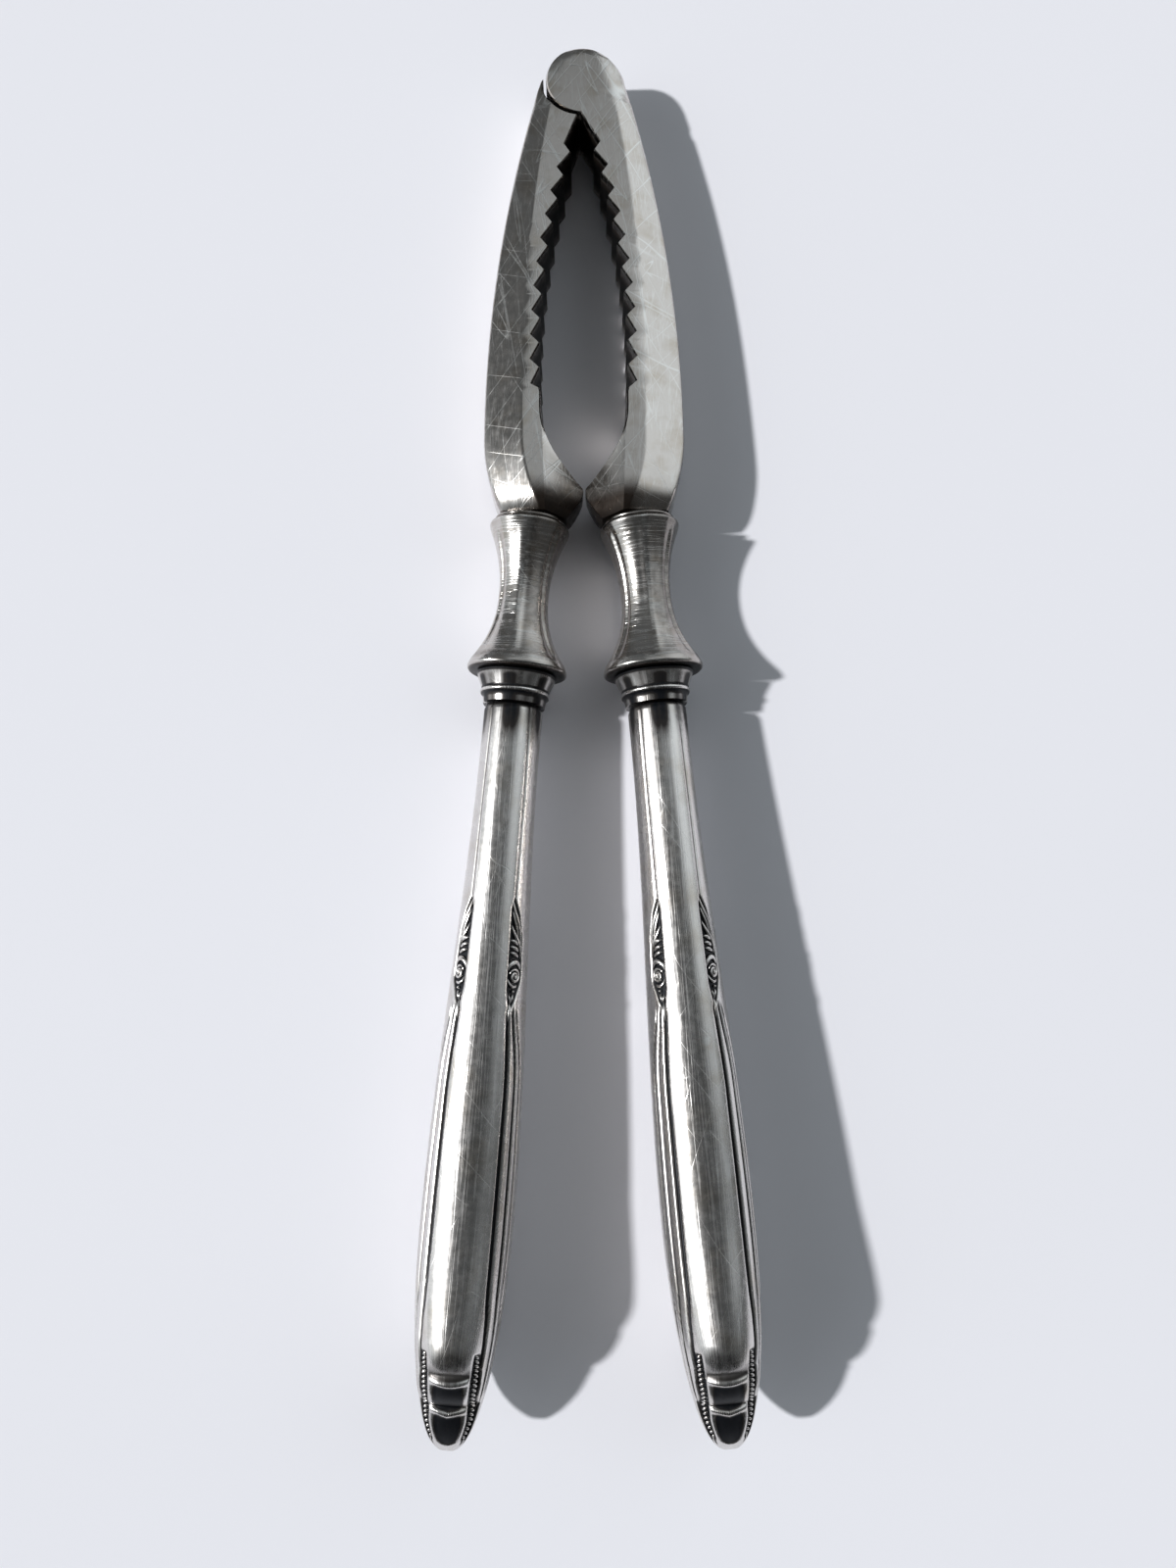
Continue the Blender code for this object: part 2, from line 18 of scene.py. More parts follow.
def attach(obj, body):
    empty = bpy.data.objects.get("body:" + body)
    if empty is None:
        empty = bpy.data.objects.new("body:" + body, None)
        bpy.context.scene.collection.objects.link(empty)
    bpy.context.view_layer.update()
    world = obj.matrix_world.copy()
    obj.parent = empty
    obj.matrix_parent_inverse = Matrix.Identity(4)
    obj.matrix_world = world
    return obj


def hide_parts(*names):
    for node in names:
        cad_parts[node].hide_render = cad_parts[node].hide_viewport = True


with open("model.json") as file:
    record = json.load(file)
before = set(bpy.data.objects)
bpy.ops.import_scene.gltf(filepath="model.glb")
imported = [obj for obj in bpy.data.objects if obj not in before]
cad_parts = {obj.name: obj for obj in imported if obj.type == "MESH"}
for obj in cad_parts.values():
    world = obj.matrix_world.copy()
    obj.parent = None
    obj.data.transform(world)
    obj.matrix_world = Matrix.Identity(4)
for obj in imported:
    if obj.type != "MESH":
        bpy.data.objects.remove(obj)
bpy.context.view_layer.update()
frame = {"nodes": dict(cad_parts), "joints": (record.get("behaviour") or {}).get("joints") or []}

bl_info = {
    "name": "Silver nutcracker",
    "version": (1, 0, 0),
    "blender": (4, 5, 0),
    "location": "View3D > Sidebar > Nutcracker",
    "description": "Models a hinged silver nutcracker with toothed jaws and hollow handles",
    "category": "Add Mesh",
}

MM = 0.001

HINGE = frame["joints"][0]
HINGE_PLACE = Vector(HINGE["pos_m"])
HINGE_TILT = atan2(HINGE["axis"][1], HINGE["axis"][2])
FACE_SLOPE = tan(HINGE_TILT)
TOOL = Matrix.Translation(HINGE_PLACE) @ Matrix.Rotation(-HINGE_TILT, 4, "X") @ Matrix.Scale(MM, 4)

# Arms, in millimetres. An arm's own frame lies on the rim of its ferrule, and -Y runs down the arm.
ARM_SPLAY = radians(4.85)
RIM_X = 7.55
RIM_DEPTH = 65.0
JAW_END = -1.1
HANDLE_START = 25.3
TIP = 119.8
# The tip's own point stays a little short, inside the CAD's cut end.
TIP_END = 119.68
# Points closer than this are made one, and shorter edges are dissolved.
MERGE = 0.0005
SHORTEST_EDGE = 0.0002


def mirror(side):
    return Matrix.Diagonal((side, 1, 1, 1))


def arm_frame(side):
    """From the right arm's own frame to the row frame, mirrored for the left arm."""
    place = Matrix.Translation((RIM_X, -RIM_DEPTH, 0)) @ Matrix.Rotation(ARM_SPLAY, 4, "Z")
    return TOOL @ mirror(side) @ place


# ---- Values along a line ----


def smoothstep(value, low, high):
    share = min(1, max(0, (value - low) / (high - low)))
    return share * share * (3 - 2 * share)


def hump(value, centre, half_width):
    """A smooth hump of height 1, falling to 0 at half_width either side."""
    share = min(1, abs(value - centre) / half_width)
    return (1 - share * share) ** 2


def read_off(table, value):
    """The value at a place in a table of (place, value) rows, straight between rows."""
    if value <= table[0][0]:
        return table[0][1]
    for (low, first), (high, second) in zip(table, table[1:]):
        if value <= high:
            return first + (second - first) * (value - low) / (high - low)
    return table[-1][1]


def spaced(start, end, count):
    return [start + (end - start) * i / count for i in range(count + 1)]


# ---- Meshes ----


def skin(bm, sections, patina_and_shade=None, close=False, cap=True):
    """Stretches a grid over sections of equally many points and closes it. The third argument gives each point's
    darkening: black film in hollows, and painted shade.
    """
    rows, columns = len(sections) + close, len(sections[0]) + 1
    dirt = bm.verts.layers.float.get("patina_and_shade") or bm.verts.layers.float.new("patina_and_shade")
    wear = bm.loops.layers.uv.get("wear") or bm.loops.layers.uv.new("wear")
    grid = bmesh.ops.create_grid(bm, x_segments=columns - 1, y_segments=rows - 1, size=1)
    spot = {}
    for vert in grid["verts"]:
        column = round((vert.co.x + 1) / 2 * (columns - 1))
        row = round((vert.co.y + 1) / 2 * (rows - 1))
        spot[vert] = (column, row)
    for vert, (column, row) in spot.items():
        vert.co = sections[row % len(sections)][column % (columns - 1)]
        if patina_and_shade:
            vert[dirt] = patina_and_shade[row % len(sections)][column % (columns - 1)]
    girth = [0.0]
    middle = sections[len(sections) // 2]
    for first, second in zip(middle, middle[1:] + middle[:1]):
        girth.append(girth[-1] + (Vector(first) - Vector(second)).length)
    length = [0.0]
    for first, second in zip(sections, sections[1:] + sections[:1]):
        length.append(length[-1] + (Vector(first[0]) - Vector(second[0])).length)
    faces = {face for vert in spot for face in vert.link_faces}
    for face in faces:
        for loop in face.loops:
            column, row = spot[loop.vert]
            loop[wear].uv = (girth[column] * MM, length[row] * MM)
    verts = list(spot)
    bmesh.ops.remove_doubles(bm, verts=verts, dist=MERGE)
    verts = [vert for vert in verts if vert.is_valid]
    if cap:
        rims = {edge for vert in verts for edge in vert.link_edges if edge.is_boundary}
        bmesh.ops.holes_fill(bm, edges=list(rims), sides=0)
    return verts


def finished(word, what, bm, matrix, make, nodes, sharp=None, weighted=False):
    """One arm's piece, with its place in its mesh, riding on the arm and standing for its CAD nodes."""
    name = f"{word}_{what}"
    bmesh.ops.dissolve_degenerate(bm, edges=bm.edges, dist=SHORTEST_EDGE)
    bmesh.ops.transform(bm, matrix=matrix, verts=bm.verts)
    bmesh.ops.recalc_face_normals(bm, faces=bm.faces)
    mesh = bpy.data.meshes.new(name)
    bm.to_mesh(mesh)
    bm.free()
    mesh.shade_smooth()
    if sharp:
        mesh.set_sharp_from_angle(angle=radians(sharp))
    mesh.materials.append(shared(make))
    piece = bpy.data.objects.new(name, mesh)
    bpy.context.scene.collection.objects.link(piece)
    if weighted:
        normals = piece.modifiers.new("Flat faces stay flat", "WEIGHTED_NORMAL")
        normals.keep_sharp = True
    body, stands_for = word + "_arm", [f"{word}_{node}" for node in nodes]
    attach(piece, body)
    if stands_for:
        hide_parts(*stands_for)


# ---- Jaws ----

DISC_RADIUS = 5.2
SOCKET_RADIUS = 5.7
SOCKET_END = radians(83)
DISC_START = radians(-84)
DISC_END = radians(86)
HEAD_RADIUS = 6.3
HEAD_CENTRE = 1.1
HEAD_HALF_THICKNESS = 4.6
TONGUE_RADIUS = 4.9
TONGUE_HALF_THICKNESS = 1.4
WEB_SIDE = 3.6
WEB_MIDDLE = 4.3
WEB_TURN = radians(-42)
SLOT_HALF_THICKNESS = 1.7
SLOT_WALL = 0.55
HORN_TIP = -0.5
BEVEL_SLOPE = 0.42
FACET_TOP = 47.6
FACET_SLOPE = 0.9
OPENING_HALF_WIDTH = 7.15
OPENING_WIDEST = 42
OPENING_RADIUS = 107.8
FIRST_GAP = {"left": 10.2, "right": 9.8}
TOOTH_COUNT = 11
TOOTH_PITCH = 3.62
TIP_SHARE = 0.34
TIP_BLUNT = 0.14
THROAT_X = 5.85
THROAT_TOP = 49.7
THROAT_RADIUS = 10.5
CONTACT = 59.9
BASE_ROUNDING_START = 61.2
BASE_ROUNDING_LENGTH = 3.2
BASE_ROUNDING_DROP = 1.7
HEAD_RIDGE = ((-5.2, 0.3), (-4.6, 1.5), (-3.6, 2.5), (-2.3, 3.1), (0.26, 3.9), (2.8, 4.5), (7, 5.35))


def opening_x(depth):
    return OPENING_HALF_WIDTH - (depth - OPENING_WIDEST) ** 2 / (2 * OPENING_RADIUS)


def outer_x(depth, word):
    """The jaw's outer edge. The right one goes round the head, the left one ends in the horn's point."""
    above = HEAD_CENTRE - depth
    if word == "right" and above > HEAD_RADIUS * sin(radians(17)):
        return sqrt(max(0, HEAD_RADIUS**2 - min(above, HEAD_RADIUS) ** 2))
    if word == "left" and depth < 1.5:
        share = max(0, (depth - HORN_TIP) / (1.5 - HORN_TIP))
        return 5.71 + (outer_x(1.5, word) - 5.71) * share**0.8
    below = depth - 53.4
    return 13.7 - below * below / (2 * (188 if below < 0 else 23))


def ridge_x(depth, word):
    """Where the flat face meets the outer bevel."""
    wide = outer_x(max(depth, 3), word) - 2.1 - 3.2 * smoothstep(depth, -10, 50)
    blend = smoothstep(depth, 2.5, 8)
    return (1 - blend) * read_off(HEAD_RIDGE, depth) + blend * wide


def half_thickness(depth):
    """The jaws thicken towards the handles and round off over their last few millimetres."""
    share = min(1, max(0, (depth - BASE_ROUNDING_START) / BASE_ROUNDING_LENGTH))
    return HEAD_HALF_THICKNESS + FACE_SLOPE * depth - BASE_ROUNDING_DROP * (1 - sqrt(1 - share * share))


def face_height(x, depth, word):
    """Half the thickness at a point of the front face: flat, then bevelled towards the outer edge."""
    high = half_thickness(depth)
    bevel = BEVEL_SLOPE * max(0, x - ridge_x(depth, word))
    if word == "right" and depth < 3:
        inset = HEAD_RADIUS - hypot(x, depth - HEAD_CENTRE)
        bevel = max(bevel, 0.25 * max(0, 1.0 - inset))
        bevel += 0.2 * (1 - smoothstep(inset, 0, 0.35))
    return high - bevel


def arm_point(across, along):
    """A point of the right arm's own frame as (x, depth) below the hinge."""
    x = RIM_X + along * sin(ARM_SPLAY) + across * cos(ARM_SPLAY)
    return x, RIM_DEPTH + along * cos(ARM_SPLAY) - across * sin(ARM_SPLAY)


def teeth(first_gap, height):
    """The sawn inner edge as (x, depth), each tooth's tip a little blunted."""
    points = []
    for i in range(TOOTH_COUNT):
        depth = first_gap + i * TOOTH_PITCH
        points.append((opening_x(depth), depth))
        if i == TOOTH_COUNT - 1:
            break
        tip = depth + TIP_SHARE * TOOTH_PITCH
        rise = height / (TIP_SHARE * TOOTH_PITCH)
        fall = height / ((1 - TIP_SHARE) * TOOTH_PITCH)
        top = opening_x(tip) - height
        points.append((top + rise * TIP_BLUNT, tip - TIP_BLUNT))
        points.append((top + 0.03, tip + 0.02))
        points.append((top + fall * 2 * TIP_BLUNT, tip + 2 * TIP_BLUNT))
    return points


def throat():
    """From the last tooth gap down to the jaw's end, as (x, depth)."""
    points = [(THROAT_X + 0.12, 47.0), (THROAT_X, 47.6), (THROAT_X, 48.6)]
    for angle in spaced(0, 42, 9):
        turn = radians(angle)
        x = THROAT_X - THROAT_RADIUS * (1 - cos(turn))
        points.append((x, THROAT_TOP + THROAT_RADIUS * sin(turn)))
    end_x, end_depth = points[-1]
    for share in (0.35, 0.7):
        points.append((end_x + (0.2 - end_x) * share, end_depth + (CONTACT - end_depth) * share))
    points += [(0.2, CONTACT - 0.2), (0.16, CONTACT + 0.3), (0.3, 61.0), (0.7, 61.9), (1.3, 62.9), (1.9, 63.7)]
    points.append(arm_point(-5.0, JAW_END))
    return points


def inner_rows(word, height):
    """Rows of (inner x, inner depth, outer depth) from the head to the jaw's end."""
    if word == "right":
        way, radius, angles = -1, DISC_RADIUS, spaced(DISC_START, DISC_END, 46)
    else:
        way, radius, angles = 1, SOCKET_RADIUS, spaced(asin(HORN_TIP / SOCKET_RADIUS), SOCKET_END, 30)
    rows = [(way * radius * cos(angle), radius * sin(angle)) for angle in angles]
    neck, first = rows[-1], teeth(FIRST_GAP[word], height)[0]
    for share in (0.25, 0.5, 0.75):
        rows.append(tuple(a + (b - a) * share for a, b in zip(neck, first)))
    rows = [(x, depth, depth) for x, depth in rows + teeth(FIRST_GAP[word], height)]
    lower = throat()
    inner_end, outer_end = lower[-1][1], arm_point(4.5, JAW_END)[1]
    for x, depth in lower:
        rows.append((x, depth, depth + (outer_end - inner_end) * smoothstep(depth, 54, inner_end)))
    return rows


def jaw_section(word, inner, inner_depth, outer_depth):
    """One closed section of a jaw, from the mid-plane's inner side round the front to the back."""
    outer = outer_x(outer_depth, word)
    room = outer - inner

    def at(x, drop=0.0):
        depth = inner_depth + (outer_depth - inner_depth) * (x - inner) / room
        return x, depth, face_height(x, depth, word) - drop

    round_off = min(0.22, 0.25 * room)
    ridge = min(max(ridge_x(inner_depth, word), inner + 0.35 * room), outer - 0.3 * room)
    facet = THROAT_X - 0.65 * (inner_depth - FACET_TOP) / 18.4
    if inner_depth < FACET_TOP:
        facet = inner
    facet = min(max(facet, inner + round_off), ridge - 0.1)
    drop = max(0.8 * round_off, FACET_SLOPE * (facet - inner - round_off))
    slot = inner
    if word == "right" and abs(inner_depth) < TONGUE_RADIUS:
        slot = min(sqrt(DISC_RADIUS**2 - inner_depth**2), outer - SLOT_WALL)
    soft = min(0.3, 0.1 * room)
    low = max(0.6, at(inner)[2] - drop - 0.15)
    slit = min(SLOT_HALF_THICKNESS, low - 0.2)
    front = [(slot, inner_depth, slit), (inner, inner_depth, slit), (inner, inner_depth, low)]
    x, depth, high = at(inner + 0.3 * round_off)
    front.append((x, depth, min(low + 0.12, high)))
    halfway = 0.5 * (inner + round_off + facet)
    front.append(at(halfway, FACET_SLOPE * (facet - halfway)))
    edge = min(0.45, 0.2 * room)
    across = [facet, facet + 0.12, 0.5 * (facet + ridge), ridge - soft, ridge, ridge + soft]
    across += [ridge + (outer - edge - ridge) * share for share in (0.35, 0.6, 0.8, 1)]
    if word == "right" and inner_depth < 4:
        even = spaced(facet, outer - edge, len(across) - 1)
        blend = smoothstep(inner_depth, 0, 4)
        across = [a + (b - a) * blend for a, b in zip(even, across)]
    front += [at(x) for x in across] + [at(outer - 0.25 * edge, 0.4 * edge), at(outer, 1.2 * edge)]
    back = [(x, depth, -z) for x, depth, z in reversed(front)]
    return [(x, -depth, z) for x, depth, z in front + back]


TANG_HALF_WIDTH = 1.75
TANG_HALF_DEPTH = 2.4
TANG_SECTIONS = (
    (JAW_END, TANG_HALF_WIDTH, TANG_HALF_DEPTH), (25, TANG_HALF_WIDTH, TANG_HALF_DEPTH), (78, 1.0, 1.5),
)


def tang_sections(last):
    """The tapered bar that goes on from the jaw's last section down inside the handle."""
    rings = []
    for along, half_width, half_depth in TANG_SECTIONS:
        ring = []
        for x, y, z in last:
            across = (x - RIM_X) * cos(ARM_SPLAY) + (y + RIM_DEPTH) * sin(ARM_SPLAY)
            across = max(-half_width, min(half_width, across))
            new_x, depth = arm_point(across, along)
            ring.append((new_x, -depth, max(-half_depth, min(half_depth, z))))
        rings.append(ring)
    return rings


def jaw_dirt_and_shade(x, y, z, word):
    """Painted shade on the walls between the teeth, deeper on the left jaw, and round the hinge; the jaw also
    darkens towards the neck, less on its bevel.
    """
    depth = -y
    bevel = smoothstep(x, ridge_x(depth, word) - 0.3, ridge_x(depth, word) + 0.6)
    film = 0.52 - bevel * (0.34 if word == "left" else 0.18)
    dirt = max(0.8 * smoothstep(depth, 63.2, 64.6), film * smoothstep(depth, 58.6 + 1.5 * bevel, 62.6))
    dirt = max(dirt, 0.35 * hump(hypot(x, depth - 60.4), 0, 1.6))
    walls = half_thickness(depth) - abs(z)
    # Painted shade on the opening's inner walls, starting nearer the face on the left jaw, whose teeth face away
    # from the sun.
    if walls > 0.1 and x < opening_x(depth) + 0.1 and 5.8 < depth < 49:
        shaded_from = 0.1 if word == "left" else 0.7
        dirt = max(dirt, smoothstep(walls, shaded_from, shaded_from + 0.6))
    # Painted shade in the socket round the hinge: on the left jaw's socket walls, and on the right jaw's disc
    # where it faces the socket.
    reach, side_end = (5.9, 5.9) if word == "left" else (5.25, 0.4)
    if walls > 0.1 and x < side_end and hypot(x, depth) < reach:
        dirt = max(dirt, 0.95 * smoothstep(walls, 0.4, 1.2))
    return dirt


def jaw_mesh(word, height):
    sections = [jaw_section(word, *row) for row in inner_rows(word, height)]
    sections += tang_sections(sections[-1])
    patina_and_shade = [[jaw_dirt_and_shade(*point, word) for point in section] for section in sections]
    bm = bmesh.new()
    skin(bm, sections, patina_and_shade)
    if word == "left":
        made = bmesh.ops.create_cone(
            bm, cap_ends=True, segments=72, radius1=TONGUE_RADIUS, radius2=TONGUE_RADIUS,
            depth=2 * TONGUE_HALF_THICKNESS,
        )
        # The web joins the round tongue to the socket's wall, on the side of the arm.
        web = bmesh.ops.create_cube(bm, size=1)
        stretch = Matrix.Diagonal((WEB_SIDE, WEB_SIDE, 2 * TONGUE_HALF_THICKNESS, 1))
        turn = Matrix.Rotation(WEB_TURN, 4, "Z") @ Matrix.Translation((WEB_MIDDLE, 0, 0))
        bmesh.ops.transform(bm, matrix=turn @ stretch, verts=web["verts"])
        # The tongue and its web sit inside the socket and are painted dark, as its shade.
        dirt = bm.verts.layers.float["patina_and_shade"]
        for vert in made["verts"] + web["verts"]:
            vert[dirt] = 0.9
    return bm


# ---- Ferrules and collars ----

FERRULE_TOP = (
    (-0.8, 4.7, 5.3), (-0.7, 4.86, 5.46), (-0.5, 4.92, 5.52), (-0.35, 4.84, 5.44), (-0.27, 4.6, 5.2),
    (-0.1, 4.6, 5.2), (-0.03, 5.2, 5.9), (0.08, 5.4, 6.1), (0.25, 5.46, 6.16), (0.5, 5.4, 6.08),
)
FERRULE_FOOT = (
    (19.5, 6.56, 6.52), (19.85, 6.7, 6.62), (20.1, 6.76, 6.67), (20.3, 6.72, 6.63), (20.45, 6.55, 6.46),
    (20.6, 6.2, 6.15),
)
FERRULE_WAIST = 9.4
FERRULE_ROUNDNESS = 2.3
WAIST_HALF_WIDTH = 3.4
WAIST_HALF_DEPTH = 4.05
COLLAR_PROFILE = (
    (20.9, 5.4, 5.8), (21.3, 5.2, 5.62), (21.8, 4.98, 5.42), (22.3, 4.78, 5.23), (22.8, 4.6, 5.06),
    (23.05, 4.5, 4.96), (23.15, 4.55, 5.01), (23.25, 4.66, 5.12), (23.42, 4.72, 5.18), (23.6, 4.66, 5.12),
    (23.72, 4.5, 4.96), (23.8, 4.36, 4.84), (24.4, 4.24, 4.74), (25.0, 4.15, 4.66),
)
TANG_CLEARANCE = 0.12
# The exponent that makes an oval all but square.
SQUARE = 14


def oval_point(half_width, half_depth, roundness, turn):
    """A point of a squarish oval, turn going round from the front centre."""
    sine, cosine = sin(turn), cos(turn)
    x = half_width * copysign(abs(sine) ** (2 / roundness), sine)
    return x, half_depth * copysign(abs(cosine) ** (2 / roundness), cosine)


def oval_ring(half_width, half_depth, roundness, turns, along):
    points = (oval_point(half_width, half_depth, roundness, turn) for turn in turns)
    return [(x, -along, z) for x, z in points]


def bored(sections, patina_and_shade, turns, start, end):
    """A mesh of the sections, with the square hole that the tang runs through."""
    for along in (end, start):
        half_width, half_depth = TANG_HALF_WIDTH + TANG_CLEARANCE, TANG_HALF_DEPTH + TANG_CLEARANCE
        sections.append(oval_ring(half_width, half_depth, SQUARE, turns, along))
        patina_and_shade.append([1.0] * len(turns))
    bm = bmesh.new()
    skin(bm, sections, patina_and_shade, close=True)
    return bm


def ferrule_profile():
    """Rows of (along, half width, half depth): the rim, a long curve to the waist, and a flare to the foot."""
    rows = list(FERRULE_TOP)
    for share in spaced(0, 1, 16)[1:]:
        along = 0.5 + (FERRULE_WAIST - 0.5) * share
        up = 1 - share
        rows.append((along, WAIST_HALF_WIDTH + 2.0 * up**2, WAIST_HALF_DEPTH + 2.03 * up**2))
    for share in spaced(0, 1, 20)[1:]:
        half_width = WAIST_HALF_WIDTH + 3.0 * share**2.4
        rows.append((FERRULE_WAIST + 9.75 * share, half_width, WAIST_HALF_DEPTH + 2.35 * share**2.2))
    return rows + list(FERRULE_FOOT)


def ferrule_relief(x, half_width, along):
    """Raised lines on the waist: a soft ridge down each broad side, and a fine one inside each edge."""
    body = smoothstep(along, 0.9, 2.2) * (1 - smoothstep(along, 18.2, 19.3))
    share = x / half_width
    ridge = 0.16 * hump(x, 0.4, 1.1)
    edges = 0.16 * hump(abs(share), 0.87, 0.075) - 0.12 * hump(abs(share), 0.78, 0.06)
    return body * (ridge + edges)


def ferrule_mesh(side):
    """The waisted ferrule, with a painted dark reflection on its right, whichever arm it's on."""
    turns = spaced(0, 2 * pi, 128)[:-1]
    sections, patina_and_shade = [], []
    for along, half_width, half_depth in ferrule_profile():
        ring, dirt = [], []
        for turn in turns:
            x, z = oval_point(half_width, half_depth, FERRULE_ROUNDNESS, turn)
            lift = ferrule_relief(x, half_width, along)
            outward = Vector((x / half_width**2, z / half_depth**2)).normalized()
            ring.append((x + outward.x * lift, -along, z + outward.y * lift))
            across = side * x / half_width
            dirt.append(max(
                0.95 * hump(along, -0.18, 0.2), 0.8 * smoothstep(along, 20.3, 20.6),
                0.3 * hump(along, -0.5, 0.3), 0.25 * hump(along, 19.0, 0.8),
                0.12 * hump(abs(across), 0.78, 0.07) * (2 < along < 18),
                # Painted reflection: the right half of each ferrule is darkened, less towards the foot.
                0.3 * smoothstep(across, 0.0, 0.25) * (1 - 0.4 * smoothstep(along, 13, 17)),
            ))
        sections.append(ring)
        patina_and_shade.append(dirt)
    return bored(sections, patina_and_shade, turns, FERRULE_TOP[0][0], FERRULE_FOOT[-1][0])


def streaks(turn):
    """Uneven lengthwise streaks of dirt round the mouth of a handle, from 0 to 1."""
    return 0.5 + 0.27 * sin(7 * turn + 1.1) + 0.23 * sin(13 * turn + 0.4)


def collar_mesh():
    """The beaded ring, black in its grooves and streaked where the handle starts."""
    turns = spaced(0, 2 * pi, 96)[:-1]
    sections, patina_and_shade = [], []
    for along, half_width, half_depth in COLLAR_PROFILE:
        sections.append(oval_ring(half_width, half_depth, FERRULE_ROUNDNESS, turns, along))
        beads = 0.9 * max(hump(along, 23.05, 0.25), hump(along, 23.8, 0.25))
        deep = max(1 - smoothstep(along, 20.9, 21.5), beads)
        film = 0.75 * smoothstep(along, 21.3, 21.8) * (1 - smoothstep(along, 23.0, 23.25))
        film = max(film, 0.9 * smoothstep(along, 23.6, 23.8))
        patina_and_shade.append([max(deep, film * streaks(turn)) for turn in turns])
    return bored(sections, patina_and_shade, turns, COLLAR_PROFILE[0][0], COLLAR_PROFILE[-1][0])


# ---- Handles ----

SHOULDER = 104.8
LOBES = (
    ((104.8, 8.85), (108.4, 7.45), 0.35),
    ((108.4, 7.45), (113.0, 4.35), 0.95),
    ((113.0, 4.35), (119.8, 0.0), 0.9),
)
HANDLE_ROUNDNESS = 2.2
END_ROUNDNESS = 2.4
WIDEST = 91
NARROWEST = 3.95
WIDENING = 2.0
FIELD_DEPTH = 0.28
RECESS_DEPTH = 0.5
ROPE_SUNK = 0.22
STRIP_HALF_WIDTH = (
    (25.3, 2.3), (38, 2.5), (50, 2.6), (66, 3.0), (75, 3.35), (98, 3.45), (102, 3.3), (105, 2.98),
    (108.3, 2.66), (112, 2.42), (118, 2.2), (119.8, 1.6),
)
MOUTH_LIP = 0.25
SKIN_ALLOWANCE = 0.01
RECESS_START = 105.6
RECESS_END = 117.8
SHADE_END = 108.3
CREST_1 = 109.35
CREST_2 = 113.5
STRIP_SHARE = 0.64
STRIP_COLUMNS = 11
SIDE_COLUMNS = 41
# Most of the side's columns go to its first two thirds, where the grooves are.
SIDE_SPREAD = ((0, 0), (0.85, 0.68), (1, 1))


def handle_half_width(along):
    width = NARROWEST + WIDENING * smoothstep(along, 30, WIDEST)
    if along <= WIDEST:
        return width
    share = min(1, (along - WIDEST) / (TIP - WIDEST))
    return width * max(0, 1 - share * share) ** (1 / END_ROUNDNESS)


def lobe_depth(along, start, end, bulge):
    """Half the depth on a convex arc between two (along, half depth) points, bulge being its height."""
    (x0, y0), (x1, y1) = start, end
    chord = hypot(x1 - x0, y1 - y0)
    radius = (chord * chord / 4 + bulge * bulge) / (2 * bulge)
    nx, ny = -(y1 - y0) / chord, (x1 - x0) / chord
    cx = (x0 + x1) / 2 - nx * (radius - bulge)
    cy = (y0 + y1) / 2 - ny * (radius - bulge)
    return cy + sqrt(max(0, radius**2 - (along - cx) ** 2))


def handle_half_depth(along):
    if along <= SHOULDER:
        taper = (along - HANDLE_START) / (SHOULDER - HANDLE_START)
        return 4.5 + 3.6 * taper + 0.75 * smoothstep(along, 90, SHOULDER)
    for start, end, bulge in LOBES:
        if along <= end[0]:
            return max(0, lobe_depth(along, start, end, bulge))
    return 0


GIRDLES = {}


def girdle(along):
    """A quarter of the outline: half sizes, turns, arc lengths, and where and how wide the strip's edge is."""
    key = round(along, 3)
    if key not in GIRDLES:
        half_width, half_depth = handle_half_width(along), handle_half_depth(along)
        strip = min(read_off(STRIP_HALF_WIDTH, along), STRIP_SHARE * half_width)
        turns = spaced(0, pi / 2, 60)
        points = [oval_point(half_width, half_depth, HANDLE_ROUNDNESS, turn) for turn in turns]
        lengths = [0.0]
        for first, second in zip(points, points[1:]):
            lengths.append(lengths[-1] + dist(first, second))
        edge = asin((strip / half_width) ** (HANDLE_ROUNDNESS / 2))
        start = read_off(list(zip(turns, lengths)), edge)
        GIRDLES[key] = half_width, half_depth, turns, lengths, start, strip
    return GIRDLES[key]


def on_handle(along, out, lift=0.0):
    """(x, z) on the front right quarter, out millimetres round from the strip's edge, raised by lift."""
    half_width, half_depth, turns, lengths, start, _ = girdle(along)
    place = min(lengths[-1], max(0, start + out))
    high = max(1, bisect.bisect_left(lengths, place))
    share = (place - lengths[high - 1]) / max(1e-9, lengths[high] - lengths[high - 1])
    turn = turns[high - 1] + (turns[high] - turns[high - 1]) * share
    x, z = oval_point(half_width, half_depth, HANDLE_ROUNDNESS, turn)
    power = HANDLE_ROUNDNESS - 1
    slope_x = max(0, x / half_width) ** power / half_width
    slope_z = max(0, z / half_depth) ** power / half_depth
    size = max(1e-9, hypot(slope_x, slope_z))
    return x + slope_x / size * lift, z + slope_z / size * lift


def dent(value, centre, half_width):
    """(depth, dirt) of a rounded groove."""
    deep = hump(value, centre, half_width)
    return deep, smoothstep(deep, 0.25, 0.9)


# The sunk field that the scroll stands in, and the sunk channel that the rope runs in.
SCROLL_HALF_WIDTH = ((51, 0), (53, 0.75), (56, 1.15), (61.5, 1.3), (62.8, 0.85), (64.2, 0.5), (65.2, 0))
RECESS_HALF_WIDTH = ((105, 0.35), (107, 0.8), (110, 0.98), (113.5, 0.85), (115, 0.85), (118, 0.45))
SCROLL_MIDDLE = ((51, 0.2), (56, 1.0), (61.5, 1.05), (65.2, 0.45))
# The grooves between the threads: (middle and half width as shares of the side, depth, dirt).
GROOVES = ((0.09, 0.075, 1.0, 0.95), (0.36, 0.065, 0.8, 0.95), (0.58, 0.05, 0.55, 0.7))


